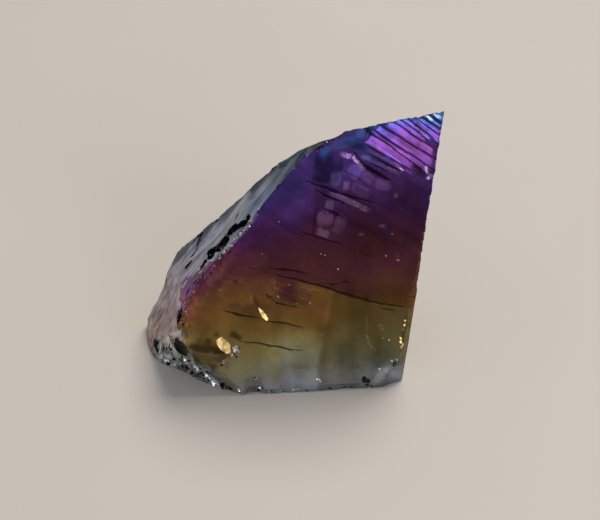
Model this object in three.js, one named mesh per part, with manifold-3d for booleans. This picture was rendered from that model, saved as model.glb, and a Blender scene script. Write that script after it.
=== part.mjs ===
// Aura obsidian: one raw shard of volcanic glass with a fused-on metal-oxide skin.
// It stands on a flat foot, its broad face leaning back under a ridged tip.
//
// The stone is knapped the way a shard breaks. A blank with flat fracture faces is spread over
// its corners, then bites, ledges and cracks are struck out of it. Everything is in millimetres.
// Most places are given on the broad face: across it from its lower left corner, up it, and the
// depth behind it. +Z is up, and the origin is at the bottom centre of the finished stone.

import * as THREE from 'three';
import { ConvexGeometry } from 'three/addons/geometries/ConvexGeometry.js';
import { mergeVertices } from 'three/addons/utils/BufferGeometryUtils.js';
import Module from 'manifold-3d';

const wasm = await Module();
wasm.setup();

// ---------------------------------------------------------------- driving dimensions

const LEAN = THREE.MathUtils.degToRad(20);   // the broad face leans back from upright
const TURN = THREE.MathUtils.degToRad(4.6);  // and is turned a little to its left
const LIFT = 0.12;                           // cutters stand this far out of the surface
const MERGE = 1e-4;                          // points closer than this are one point

// Corners of the blank on the broad face: [across, up].
const FACE_RIM = [
  [17.0, 23.9],   // tip
  [8.9, 22.6],    // shoulder
  [5.5, 20.5],
  [3.0, 17.9],
  [0.4, 14.5],
  [-1.5, 12.6],
  [-3.1, 10.35],
  [-4.6, 8.5],
  [-5.0, 7.0],
  [-4.6, 5.0],
  [0, 0],         // lower left corner of the face, on the table
  [11.4, 0],
  [13.6, 2.2],    // lower right corner
  [15.9, 16.0],   // slight knee of the right edge
];

// Corners along the back rim of the band: [across, up, behind].
const BACK_RIM = [
  [6.9, 22.15, 0.1],
  [5.3, 21.25, 0.7],
  [3.5, 19.9, 1.7],
  [2.1, 18.15, 3.1],
  [0.4, 15.75, 5.0],
  [-1.15, 14.5, 5.9],
  [-3.1, 12.4, 7.5],
  [-5.1, 10.45, 8.3],
  [-6.3, 9.0, 8.6],
  [-7.2, 6.95, 9.0],
  [-7.9, 4.45, 9.0],
];

// Outline of the foot on the table: [right, back], measured from the face's lower left corner.
const FOOT = [
  [13.4, 2.0],
  [12.75, 1.45],
  [-1.95, 0.7],
  [-3.9, 2.5],
  [-5.65, 3.0],
  [-7.45, 4.2],
  [-8.2, 5.2],
  [-8.65, 6.55],
  [-8.8, 7.9],
  [-8.0, 11.5],
  [-5.0, 14.2],
  [5.0, 15.2],
  [11.5, 14.0],
  [12.3, 11.5],
];

// Flat fractures: [across, up, behind] of three points on each.
const FLATS = {
  rightBevel: [[12.95, 1.5, 0], [16.25, 18.5, 0], [13.95, 4.1, 0.45]],
  underLip: [[0.8, 0.3, 0], [10.4, 0.5, 0], [7.0, 0, 0.1]],
};

// Bites: shell-shaped scars, each a round dish `deep` at its middle and `reach` from there to
// its edge. `spot` is [across, up, behind] on the surface and `facing` [across, up, outwards].
// A dish with a `stretch` is that much longer in the direction `along`.
const DOWN_BAND = [-0.62, -0.78, 0];
const CHIPS = [
  // the face's lower left: a smooth shallow dish, the bright chip above it, a chip at the foot
  { spot: [-3.3, 3.7, 0], facing: [-0.25, -0.15, 1], reach: 1.9, deep: 0.22 },
  { spot: [-1.7, 4.75, 0], facing: [0.45, 0.5, 1], reach: 0.62, deep: 0.16,
    along: [0.4, -0.9, 0], stretch: 1.5 },
  { spot: [0.7, 0.5, 0], facing: [0.1, -0.45, 1], reach: 0.85, deep: 0.22 },
  { spot: [1.85, 7.25, 0], facing: [0.4, 0.4, 1], reach: 0.34, deep: 0.1,
    along: [0.6, -0.8, 0], stretch: 1.7 },
  // the corner knocked off at the lower left, then smaller flakes off its edges
  { spot: [-5.35, 4.0, 1.6], facing: [-0.85, -0.25, 0.45], reach: 2.0, deep: 0.5 },
  { spot: [-5.4, 2.0, 2.3], facing: [-0.6, -0.62, 0.5], reach: 1.9, deep: 0.42 },
  { spot: [-3.0, 1.6, 0.7], facing: [-0.55, -0.45, 0.7], reach: 1.7, deep: 0.4 },
  { spot: [-6.9, 3.3, 4.0], facing: [-0.95, -0.1, 0.3], reach: 1.1, deep: 0.3 },
  { spot: [-7.6, 3.3, 5.3], facing: [-0.95, 0.05, 0.3], reach: 0.6, deep: 0.26 },
  { spot: [-4.6, 2.8, 1.2], facing: [-0.65, -0.3, 0.7], reach: 0.8, deep: 0.24 },
  { spot: [-1.5, 0.4, 0.4], facing: [-0.4, -0.5, 0.8], reach: 0.55, deep: 0.24 },
  { spot: [-4.75, 6.2, 0.4], facing: [-0.75, 0.1, 0.65], reach: 0.8, deep: 0.2 },
  // the chipped bevel between the band and the face
  { spot: [-3.4, 10.3, 0.3], facing: [-0.6, 0.5, 0.65], reach: 1.3, deep: 0.26,
    along: DOWN_BAND, stretch: 1.2 },
  { spot: [-4.5, 9.0, 0.3], facing: [-0.65, 0.45, 0.65], reach: 1.2, deep: 0.25 },
  { spot: [-5.0, 7.6, 0.2], facing: [-0.75, 0.25, 0.65], reach: 0.9, deep: 0.2 },
  // long shallow scallops that shape the band
  { spot: [-0.8, 14.6, 3.2], facing: [-0.79, 0.59, 0.1], reach: 3.4, deep: 0.22 },
  { spot: [2.3, 18.3, 2.2], facing: [-0.75, 0.6, 0.2], reach: 2.2, deep: 0.14 },
  { spot: [-6.0, 7.4, 4.8], facing: [-0.92, 0.3, 0.2], reach: 3.2, deep: 0.3 },
  // thin scallops along the band's back rim
  { spot: [2.1, 18.15, 3.1], facing: [-0.5, 0.8, -0.35], reach: 0.8, deep: 0.12,
    along: DOWN_BAND, stretch: 2.2 },
  { spot: [-1.1, 14.5, 5.9], facing: [-0.5, 0.75, -0.4], reach: 0.9, deep: 0.14,
    along: DOWN_BAND, stretch: 2 },
  { spot: [-3.3, 12.2, 7.5], facing: [-0.5, 0.75, -0.4], reach: 0.9, deep: 0.14,
    along: DOWN_BAND, stretch: 2 },
  { spot: [-6.4, 8.8, 8.6], facing: [-0.7, 0.5, -0.5], reach: 0.9, deep: 0.12,
    along: DOWN_BAND, stretch: 1.5 },
  // the lower right corner: a clean scar, and a pit beside it
  { spot: [12.5, 0.9, 0.05], facing: [0.45, -0.35, 0.8], reach: 1.5, deep: 0.3 },
  // nicks down the right edge
  { spot: [13.7, 5.4, 0.2], facing: [0.85, 0.1, 0.5], reach: 0.5, deep: 0.14,
    along: [0.16, 1, 0], stretch: 1.8 },
  { spot: [13.35, 3.7, 0.2], facing: [0.8, -0.1, 0.6], reach: 0.5, deep: 0.16,
    along: [0.16, 1, 0], stretch: 1.5 },
  { spot: [14.35, 7.7, 0.2], facing: [0.85, 0.1, 0.5], reach: 0.4, deep: 0.12,
    along: [0.16, 1, 0], stretch: 1.5 },
  { spot: [16.3, 18.2, 0.15], facing: [0.8, -0.2, 0.6], reach: 0.6, deep: 0.16,
    along: [0.16, 1, 0], stretch: 1.6 },
];

// Pits: small deep bites of few sides, in a row where the band meets the face, and by the foot.
const PITS = [
  { spot: [-1.85, 12.55, 1.3], facing: [-0.75, 0.6, 0.3], reach: 0.6, deep: 0.42,
    along: DOWN_BAND, stretch: 1.9 },
  { spot: [-1.0, 13.5, 0.8], facing: [-0.75, 0.6, 0.3], reach: 0.4, deep: 0.3,
    along: DOWN_BAND, stretch: 1.6 },
  { spot: [-0.25, 14.2, 0.45], facing: [-0.75, 0.6, 0.3], reach: 0.34, deep: 0.28,
    along: DOWN_BAND, stretch: 1.8 },
  { spot: [0.4, 14.9, 0.35], facing: [-0.75, 0.6, 0.3], reach: 0.28, deep: 0.22,
    along: DOWN_BAND, stretch: 1.6 },
  { spot: [-3.3, 11.0, 2.4], facing: [-0.8, 0.55, 0.25], reach: 0.42, deep: 0.3,
    along: DOWN_BAND, stretch: 1.7 },
  { spot: [-4.3, 10.4, 4.4], facing: [-0.8, 0.55, 0.25], reach: 0.36, deep: 0.2,
    along: DOWN_BAND, stretch: 2 },
  { spot: [-5.25, 7.1, 0.8], facing: [-0.9, 0.25, 0.35], reach: 0.38, deep: 0.25,
    along: [0, 1, 0], stretch: 2 },
  { spot: [10.2, 0.6, 0], facing: [0, -0.3, 1], reach: 0.35, deep: 0.26,
    along: [0, 1, 0], stretch: 1.3 },
];

// Scars on the hidden sides: [right, back, up] of the spot from the face's lower left corner,
// and the way it faces in the standing stone.
const BACK_SCARS = [
  { spot: [6.0, 11.9, 11.0], facing: [-0.05, 0.95, 0.3], reach: 7.0, deep: 0.9 },
  { spot: [-2.0, 12.7, 5.5], facing: [-0.2, 0.93, 0.25], reach: 5.5, deep: 0.8 },
  { spot: [9.5, 13.6, 4.0], facing: [0.15, 0.97, 0.15], reach: 4.8, deep: 0.7 },
  { spot: [-7.0, 10.2, 4.0], facing: [-0.7, 0.7, 0.1], reach: 3.2, deep: 0.5 },
  { spot: [12.5, 10.7, 17.0], facing: [0.05, 0.96, 0.25], reach: 3.5, deep: 0.3 },
  { spot: [13.6, 9.6, 9.0], facing: [0.97, 0.2, -0.12], reach: 2.9, deep: 0.25 },
  { spot: [12.85, 7.8, 2.2], facing: [0.98, 0.12, -0.1], reach: 3.4, deep: 0.3 },
];

// Ledges of the ridged tip: the deep line of each from and to [across, up], how wide its tread
// is on the tip's far side of the line before, and how deep the line is. Each tread dips
// towards the tip and ends at a riser.
const LEDGES = [
  { from: [10.75, 21.35], to: [15.3, 18.45], tread: [0.3, 0.3], deep: [0.12, 0.04] },
  { from: [10.3, 22.9], to: [14.9, 19.5], tread: [0.85, 0.7], deep: [0.12, 0.05] },
  { from: [11.1, 22.9], to: [16.3, 18.75], tread: [0.5, 0.5], deep: [0.1, 0.12] },
  { from: [11.8, 23.15], to: [17.0, 19.3], tread: [0.55, 0.5], deep: [0.12, 0.24] },
  { from: [12.5, 23.35], to: [17.1, 20.15], tread: [0.42, 0.5], deep: [0.07, 0.14] },
  { from: [13.2, 23.5], to: [17.1, 20.85], tread: [0.5, 0.5], deep: [0.08, 0.15] },
  { from: [13.9, 23.6], to: [17.2, 21.3], tread: [0.5, 0.4], deep: [0.07, 0.14] },
  { from: [14.45, 23.65], to: [17.2, 21.85], tread: [0.36, 0.4], deep: [0.06, 0.12] },
  { from: [15.1, 23.75], to: [17.3, 22.3], tread: [0.4, 0.35], deep: [0.06, 0.1] },
  { from: [15.8, 23.8], to: [17.3, 22.85], tread: [0.4, 0.35], deep: [0.05, 0.08] },
];

// Cracks: open splits with a V section, tapering out at both ends: [across, up] along each.
const CRACKS = [
  { wide: 0.22, deep: 0.25,
    path: [[2.0, 11.0], [3.3, 10.5], [6.6, 9.45], [9.1, 8.45], [11.6, 7.65], [14.3, 7.1]] },
  { wide: 0.16, deep: 0.16, path: [[2.3, 11.3], [3.7, 11.05], [5.6, 10.6]] },
  { wide: 0.12, deep: 0.12, path: [[11.1, 7.45], [12.0, 7.15], [13.1, 6.9]] },
  { wide: 0.12, deep: 0.12, path: [[7.0, 9.7], [7.5, 9.55], [7.9, 9.5]] },
  { wide: 0.14, deep: 0.14, path: [[8.3, 9.8], [8.7, 9.75], [9.2, 9.55]] },
  { wide: 0.18, deep: 0.2, path: [[-1.8, 7.85], [-0.15, 7.25], [1.45, 6.95]] },
  { wide: 0.18, deep: 0.2, path: [[1.8, 6.65], [3.6, 6.3], [5.2, 5.8]] },
  { wide: 0.16, deep: 0.18, path: [[-0.3, 5.0], [2.1, 4.45], [3.9, 4.0], [5.0, 3.85]] },
  { wide: 0.24, deep: 0.25, path: [[5.0, 18.8], [7.2, 17.95], [9.4, 17.0], [11.5, 16.25]] },
  { wide: 0.2, deep: 0.2, path: [[6.2, 17.8], [8.0, 16.9], [9.5, 16.0]] },
  { wide: 0.18, deep: 0.18, path: [[7.0, 16.15], [8.0, 15.7], [8.9, 15.1]] },
  { wide: 0.18, deep: 0.18, path: [[4.7, 14.45], [6.1, 13.85], [8.8, 12.9]] },
  { wide: 0.14, deep: 0.14, path: [[6.6, 14.65], [7.5, 14.2], [8.3, 13.6]] },
  { wide: 0.14, deep: 0.14, path: [[1.7, 9.1], [3.05, 8.15], [4.95, 7.6]] },
  { wide: 0.26, deep: 0.28, path: [[9.4, 21.0], [10.5, 19.6], [12.1, 18.5], [12.9, 18.1]] },
  { wide: 0.2, deep: 0.2, path: [[10.4, 20.15], [11.5, 19.5], [12.7, 18.9]] },
  { wide: 0.2, deep: 0.2, path: [[11.0, 20.5], [12.4, 19.6], [13.9, 18.85]] },
];

const HEART = new THREE.Vector3(2, 6, 7);   // a point well inside the stone
const WASTE = 60;          // a cutting block's side, larger than the stone
const RISER_SLANT = 0.03;  // a ledge's riser leans back by this much
const PIT_SIDES = 8;       // flat sides round a pit
const CHIP_SIDES = 16;     // and round a chip
const SCAR_SIDES = 24;     // and round a large scar
const SIDES_A_RING = 6;    // a dish has one ring for each so many sides
const BITE_SPILL = 1.3;    // a cutting dish runs on past the bite's edge by this factor
const CRACK_TIP = 0.15;    // a crack's width at its ends, as a part of its full width

// ---------------------------------------------------------------- places and solids

const TABLE_UP = new THREE.Vector3(0, 0, 1);

const stand = new THREE.Matrix4()
  .makeRotationZ(TURN)
  .multiply(new THREE.Matrix4().makeRotationX(-LEAN));

// A point given on the broad face, in the standing stone.
function at(across, up, behind = 0) {
  return new THREE.Vector3(across, behind, up).applyMatrix4(stand);
}

// A direction given on the broad face, in the standing stone.
function towards(across, up, outwards) {
  return new THREE.Vector3(across, -outwards, up).applyMatrix4(stand).normalize();
}

// A closed geometry as a solid: corners merged, needle-thin leftovers at the poles dropped.
function solid(geometry) {
  const bare = geometry.clone();
  bare.deleteAttribute('normal');
  bare.deleteAttribute('uv');
  const merged = mergeVertices(bare, MERGE);
  const corners = merged.index.array;
  const triVerts = [];
  for (let i = 0; i < corners.length; i += 3) {
    const [a, b, c] = corners.slice(i, i + 3);
    if (a !== b && b !== c && c !== a) triVerts.push(a, b, c);
  }
  return new wasm.Manifold(new wasm.Mesh({
    numProp: 3,
    vertProperties: merged.attributes.position.array,
    triVerts: Uint32Array.from(triVerts),
  }));
}

function hull(points) {
  return solid(new ConvexGeometry(points));
}

// ---------------------------------------------------------------- the blank and what is struck off

function blank() {
  return hull([
    ...FACE_RIM.map(([across, up]) => at(across, up)),
    ...BACK_RIM.map(([across, up, behind]) => at(across, up, behind)),
    ...FOOT.map(([right, back]) => new THREE.Vector3(right, back, 0)),
  ]);
}

// All that lies beyond the plane through three points, on the side away from the stone's heart.
function beyond(points) {
  const plane = new THREE.Plane().setFromCoplanarPoints(...points.map((p) => at(...p)));
  if (plane.distanceToPoint(HEART) > 0) plane.negate();
  const waste = new THREE.BoxGeometry(WASTE, WASTE, WASTE);
  waste.translate(0, 0, WASTE / 2);
  waste.applyQuaternion(new THREE.Quaternion().setFromUnitVectors(TABLE_UP, plane.normal));
  waste.translate(...plane.projectPoint(HEART, new THREE.Vector3()));
  return solid(waste);
}

// A dish of the sphere that fits the bite, closed by a cone on its outer side.
function dish(reach, deep, sides) {
  const radius = (reach * reach + deep * deep) / (2 * deep);
  const edgeAngle = Math.asin(reach / radius);
  const rings = Math.ceil(sides / SIDES_A_RING);
  const shares = Array.from({ length: rings }, (_, ring) => (ring + 1) / rings);
  const profile = [new THREE.Vector2(0, -deep)];
  for (const share of [...shares, BITE_SPILL]) {
    const angle = edgeAngle * share;
    const height = radius - deep - radius * Math.cos(angle);
    profile.push(new THREE.Vector2(radius * Math.sin(angle), height));
  }
  profile.push(new THREE.Vector2(0, deep + reach));
  return new THREE.LatheGeometry(profile, sides);
}

// The dish laid on its spot, its axis facing out and its length along the given direction.
function bite(spot, facing, along, { reach, deep, stretch = 1 }, sides) {
  const side = along.clone().cross(facing).normalize();
  const length = facing.clone().cross(side);
  const cutter = dish(reach, deep, sides);
  cutter.scale(stretch, 1, 1);
  cutter.applyMatrix4(new THREE.Matrix4().makeBasis(length, facing, side));
  cutter.translate(...spot);
  return solid(cutter);
}

function faceBite(given, sides) {
  const along = towards(...(given.along ?? [0, 1, 0]));
  return bite(at(...given.spot), towards(...given.facing), along, given, sides);
}

function backBite(given) {
  const facing = new THREE.Vector3(...given.facing).normalize();
  return bite(new THREE.Vector3(...given.spot), facing, TABLE_UP, given, SCAR_SIDES);
}

// A wedge along a ledge's deep line. Its tread slopes down towards the tip to a steep riser.
function ledge({ from, to, tread, deep }) {
  const along = new THREE.Vector2(...to).sub(new THREE.Vector2(...from)).normalize();
  const tipward = new THREE.Vector2(-along.y, along.x);
  const section = ([across, up], width, depth) => {
    const spread = width * (1 + LIFT / depth);
    return [
      at(across - tipward.x * spread, up - tipward.y * spread, -LIFT),
      at(across, up, depth),
      at(across + tipward.x * RISER_SLANT, up + tipward.y * RISER_SLANT, -LIFT),
    ];
  };
  return hull([...section(from, tread[0], deep[0]), ...section(to, tread[1], deep[1])]);
}

// A V groove along a path, widest and deepest in its middle: one wedge for each stretch.
function crack({ wide, deep, path }) {
  const last = path.length - 1;
  const sections = path.map(([across, up], i) => {
    const before = path[Math.max(i - 1, 0)];
    const after = path[Math.min(i + 1, last)];
    const along = new THREE.Vector2(after[0] - before[0], after[1] - before[1]).normalize();
    const size = CRACK_TIP + (1 - CRACK_TIP) * Math.sin(Math.PI * i / last);
    const half = size * (wide / 2) * (1 + LIFT / (size * deep));
    return [
      at(across - along.y * half, up + along.x * half, -LIFT),
      at(across + along.y * half, up - along.x * half, -LIFT),
      at(across, up, size * deep),
    ];
  });
  return sections.slice(1).map((section, i) => hull([...sections[i], ...section]));
}

// ---------------------------------------------------------------- the shard

function knap() {
  const struckOff = [
    ...Object.values(FLATS).map(beyond),
    ...BACK_SCARS.map(backBite),
    ...CHIPS.map((given) => faceBite(given, CHIP_SIDES)),
    ...PITS.map((given) => faceBite(given, PIT_SIDES)),
    ...LEDGES.map(ledge),
    ...CRACKS.flatMap(crack),
  ];
  return struckOff.reduce((stone, piece) => stone.subtract(piece), blank());
}

// The solid as a geometry, moved so that the middle of its foot's box is the origin.
function finished(stone) {
  const { vertProperties, triVerts } = stone.getMesh();
  const geometry = new THREE.BufferGeometry();
  geometry.setAttribute('position', new THREE.BufferAttribute(vertProperties, 3));
  geometry.setIndex(new THREE.BufferAttribute(triVerts, 1));
  geometry.computeBoundingBox();
  const middle = geometry.boundingBox.getCenter(new THREE.Vector3());
  geometry.translate(-middle.x, -middle.y, -geometry.boundingBox.min.z);
  geometry.computeVertexNormals();
  return geometry;
}

// Iridescent metal-oxide skin on black glass: one smooth, dark, metallic surface.
const oxideSkin = new THREE.MeshStandardMaterial({
  color: 0x5f4150,
  roughness: 0.25,
  metalness: 0.85,
});

const shard = new THREE.Mesh(finished(knap()), oxideSkin);
shard.name = 'obsidian_shard';

const part = new THREE.Group();
part.add(shard);
export default part;
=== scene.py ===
"""Aura obsidian: the fine surface, the finishes and the studio of one raw shard.

The shard is knapped from the same named places as its solid, with the fine relief that the solid
leaves out: rippled scars, wandering cracks, worn arrises and small flakes. Sizes are worked in
millimetres in the part's own frame, and the finished mesh is scaled to metres at the end.
"""

import math
import random

import bmesh
import bpy
import numpy as np
from bpy.props import FloatProperty, FloatVectorProperty, PointerProperty
from mathutils import Matrix, Vector
from mathutils.bvhtree import BVHTree
from mathutils.geometry import delaunay_2d_cdt


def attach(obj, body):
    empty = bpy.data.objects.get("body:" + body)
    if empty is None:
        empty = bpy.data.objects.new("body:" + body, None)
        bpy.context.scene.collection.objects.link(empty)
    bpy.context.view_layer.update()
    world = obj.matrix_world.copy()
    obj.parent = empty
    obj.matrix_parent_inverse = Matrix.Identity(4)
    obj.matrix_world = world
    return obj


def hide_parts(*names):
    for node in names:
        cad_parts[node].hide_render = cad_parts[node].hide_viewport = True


bl_info = {
    "name": "Aura Obsidian Shard",
    "version": (1, 0, 0),
    "blender": (4, 5, 0),
    "location": "3D View > Sidebar > Shard",
    "description": "One knapped shard of volcanic glass with a fused-on metal-oxide skin",
    "category": "Add Mesh",
}

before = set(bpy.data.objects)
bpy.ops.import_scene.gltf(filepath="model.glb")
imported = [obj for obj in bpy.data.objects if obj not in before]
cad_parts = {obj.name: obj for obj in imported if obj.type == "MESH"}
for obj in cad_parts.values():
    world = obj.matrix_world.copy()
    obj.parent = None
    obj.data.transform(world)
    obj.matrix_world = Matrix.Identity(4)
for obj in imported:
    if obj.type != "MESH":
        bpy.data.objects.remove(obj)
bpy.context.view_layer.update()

# ---------------------------------------------------------------- the shard's own dimensions, mm

MM = 0.001  # one millimetre, in metres
NODE = "obsidian_shard"

LEAN = math.radians(20)  # the broad face leans back from upright
TURN = math.radians(4.6)  # and is turned a little to its left
FACE_CORNER = np.array((-3.745, -7.626, 0.0))  # lower left corner of the broad face

# Corners of the blank on the broad face: (across, up).
FACE_RIM = (
    (17.0, 23.9), (8.9, 22.6), (5.5, 20.5), (3.0, 17.9), (0.4, 14.5), (-1.5, 12.6),
    (-3.1, 10.35), (-4.6, 8.5), (-5.0, 7.0), (-4.6, 5.0), (0, 0), (11.4, 0),
    (13.6, 2.2), (15.9, 16.0),
)  # fmt: skip
# Corners along the back rim of the band: (across, up, behind).
BACK_RIM = (
    (6.9, 22.15, 0.1), (5.3, 21.25, 0.7), (3.5, 19.9, 1.7), (2.1, 18.15, 3.1),
    (0.4, 15.75, 5.0), (-1.15, 14.5, 5.9), (-3.1, 12.4, 7.5), (-5.1, 10.45, 8.3),
    (-6.3, 9.0, 8.6), (-7.2, 6.95, 9.0), (-7.9, 4.45, 9.0),
)  # fmt: skip
# Outline of the foot: (right, back) from the face's lower left corner.
FOOT = (
    (13.4, 2.0), (12.75, 1.45), (-1.95, 0.7), (-3.9, 2.5), (-5.65, 3.0), (-7.45, 4.2),
    (-8.2, 5.2), (-8.65, 6.55), (-8.8, 7.9), (-8.0, 11.5), (-5.0, 14.2), (5.0, 15.2),
    (11.5, 14.0), (12.3, 11.5),
)  # fmt: skip
# Flat fractures, each through three points: (across, up, behind).
FLATS = (
    ((12.95, 1.5, 0), (16.25, 18.5, 0), (13.95, 4.1, 0.45)),
    ((0.8, 0.3, 0), (10.4, 0.5, 0), (7.0, 0, 0.1)),
)
HEART = (2, 6, 7)  # a point well inside, from the face's lower left corner

DOWN_BAND = (-0.62, -0.78, 0)
UPRIGHT = (0, 1, 0)

# Bites struck off: (spot, facing, reach, deep, along, stretch, finish). A spot is (across, up,
# behind) and a facing (across, up, outwards).
CHIPS = (
    # the face's lower left
    ((-3.3, 3.7, 0), (-0.25, -0.15, 1), 1.9, 0.22, UPRIGHT, 1, "skin"),
    ((0.7, 0.5, 0), (0.1, -0.45, 1), 0.85, 0.22, UPRIGHT, 1, "skin"),
    # the corner knocked off at the lower left
    ((-5.4, 2.0, 2.3), (-0.6, -0.62, 0.5), 1.9, 0.42, UPRIGHT, 1, "slate"),
    ((-3.0, 1.6, 0.7), (-0.55, -0.45, 0.7), 1.7, 0.4, UPRIGHT, 1, "slate"),
    ((-6.9, 3.3, 4.0), (-0.95, -0.1, 0.3), 1.1, 0.3, UPRIGHT, 1, "silver"),
    ((-7.6, 3.3, 5.3), (-0.95, 0.05, 0.3), 0.6, 0.26, UPRIGHT, 1, "glass"),
    ((-1.5, 0.4, 0.4), (-0.4, -0.5, 0.8), 0.55, 0.24, UPRIGHT, 1, "silver"),
    ((-4.75, 6.2, 0.4), (-0.75, 0.1, 0.65), 0.8, 0.2, UPRIGHT, 1, "skin"),
    # the chipped bevel between the band and the face
    ((-3.4, 10.3, 0.3), (-0.6, 0.5, 0.65), 1.3, 0.26, DOWN_BAND, 1.2, "skin"),
    ((-4.5, 9.0, 0.3), (-0.65, 0.45, 0.65), 1.2, 0.25, UPRIGHT, 1, "skin"),
    ((-5.0, 7.6, 0.2), (-0.75, 0.25, 0.65), 0.9, 0.2, UPRIGHT, 1, "skin"),
    # long shallow scallops that shape the band
    ((-0.8, 14.6, 3.2), (-0.79, 0.59, 0.1), 3.4, 0.22, UPRIGHT, 1, "pearl"),
    ((2.3, 18.3, 2.2), (-0.75, 0.6, 0.2), 2.2, 0.14, UPRIGHT, 1, "pearl"),
    ((-6.0, 7.4, 4.8), (-0.92, 0.3, 0.2), 3.2, 0.3, UPRIGHT, 1, "pearl"),
    # thin scallops along the band's back rim
    ((2.1, 18.15, 3.1), (-0.5, 0.8, -0.35), 0.8, 0.12, DOWN_BAND, 2.2, "glass"),
    ((-1.1, 14.5, 5.9), (-0.5, 0.75, -0.4), 0.9, 0.14, DOWN_BAND, 2, "glass"),
    ((-3.3, 12.2, 7.5), (-0.5, 0.75, -0.4), 0.9, 0.14, DOWN_BAND, 2, "glass"),
    ((-6.4, 8.8, 8.6), (-0.7, 0.5, -0.5), 0.9, 0.12, DOWN_BAND, 1.5, "glass"),
    # the lower right corner
    ((12.5, 0.95, 0.1), (0.4, -0.34, 0.84), 1.45, 0.14, UPRIGHT, 1, "skin"),
)

# Flat scales in the broken corner, laid on the stone as the bites leave it.
SCALES = (
    ((-6.1, 3.9, 3.1), (-0.6, 0.0, 0.8), 0.75, 0.12, UPRIGHT, 1.2, "silver"),
    ((-6.4, 2.9, 3.6), (-0.55, 0.0, 0.8), 0.7, 0.14, UPRIGHT, 1.2, "slate"),
    ((-4.65, 4.05, 1.4), (-0.8, -0.15, 0.6), 0.75, 0.2, (0.5, -1.0, 0.5), 1.75, "glass"),
    ((-6.3, 1.9, 4.0), (-0.3, 0.0, 0.9), 0.5, 0.1, (1, -0.2, 0), 1.6, "slate"),
    ((-4.1, 2.1, 1.5), (-0.3, 0.0, 0.9), 0.5, 0.12, (0.8, -0.5, 0), 1.5, "slate"),
    ((-4.4, 1.5, 2.2), (-0.4, -0.5, 0.7), 0.5, 0.1, (1, -0.4, 0), 1.8, "slate"),
    ((-2.6, 0.8, 1.3), (-0.1, 0.2, 0.9), 0.45, 0.1, (0.5, -0.6, 0), 2.6, "silver"),
    ((-7.3, 3.0, 5.0), (-0.95, -0.1, 0.3), 0.4, 0.2, UPRIGHT, 1.2, "glass"),
    ((-5.35, 5.25, 1.0), (-0.4, 0.1, 0.9), 0.45, 0.08, (0.5, 1, 0), 1.4, "frost"),
)

# The middle of the broken corner, whose ground is hazed grey.
BROKEN = ((-6.4, 2.4, 4.2), (-5.4, 3.0, 3.0), (-4.2, 1.9, 1.8), (-2.6, 0.7, 1.2))

# Pits, in a row where the band meets the face, and by the foot.
PITS = (
    ((-2.1, 12.4, 1.7), (-0.75, 0.6, 0.2), 0.72, 0.6, (-0.6, -0.45, -1), 2.5, "glass"),
    ((-1.2, 13.3, 1.0), (-0.75, 0.6, 0.2), 0.5, 0.4, DOWN_BAND, 1.4, "glass"),
    ((-0.5, 14.1, 1.1), (-0.75, 0.6, 0.2), 0.46, 0.4, (-0.8, -0.8, -0.8), 2, "glass"),
    ((0.25, 14.85, 0.6), (-0.75, 0.6, 0.3), 0.4, 0.3, (-0.8, -0.8, -0.5), 1.8, "glass"),
    ((0.8, 15.45, 0.4), (-0.75, 0.6, 0.3), 0.22, 0.18, DOWN_BAND, 2, "glass"),
    ((-3.15, 11.25, 1.9), (-0.8, 0.55, 0.25), 0.42, 0.32, DOWN_BAND, 1.7, "glass"),
    ((-3.75, 11.3, 4.9), (-0.8, 0.55, 0.25), 0.28, 0.14, DOWN_BAND, 2.6, "glass"),
    ((-4.35, 10.35, 4.5), (-0.8, 0.55, 0.25), 0.28, 0.16, DOWN_BAND, 2.2, "glass"),
    ((-3.3, 12.0, 6.6), (-0.75, 0.6, 0.1), 0.26, 0.14, DOWN_BAND, 2, "glass"),
    ((-6.3, 8.3, 7.4), (-0.85, 0.4, 0.2), 0.26, 0.14, DOWN_BAND, 2, "glass"),
    ((-0.1, 15.2, 2.2), (-0.8, 0.55, 0.25), 0.2, 0.1, DOWN_BAND, 2.4, "glass"),
    ((-5.25, 7.1, 0.8), (-0.9, 0.25, 0.35), 0.4, 0.3, UPRIGHT, 2.2, "glass"),
)

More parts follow.
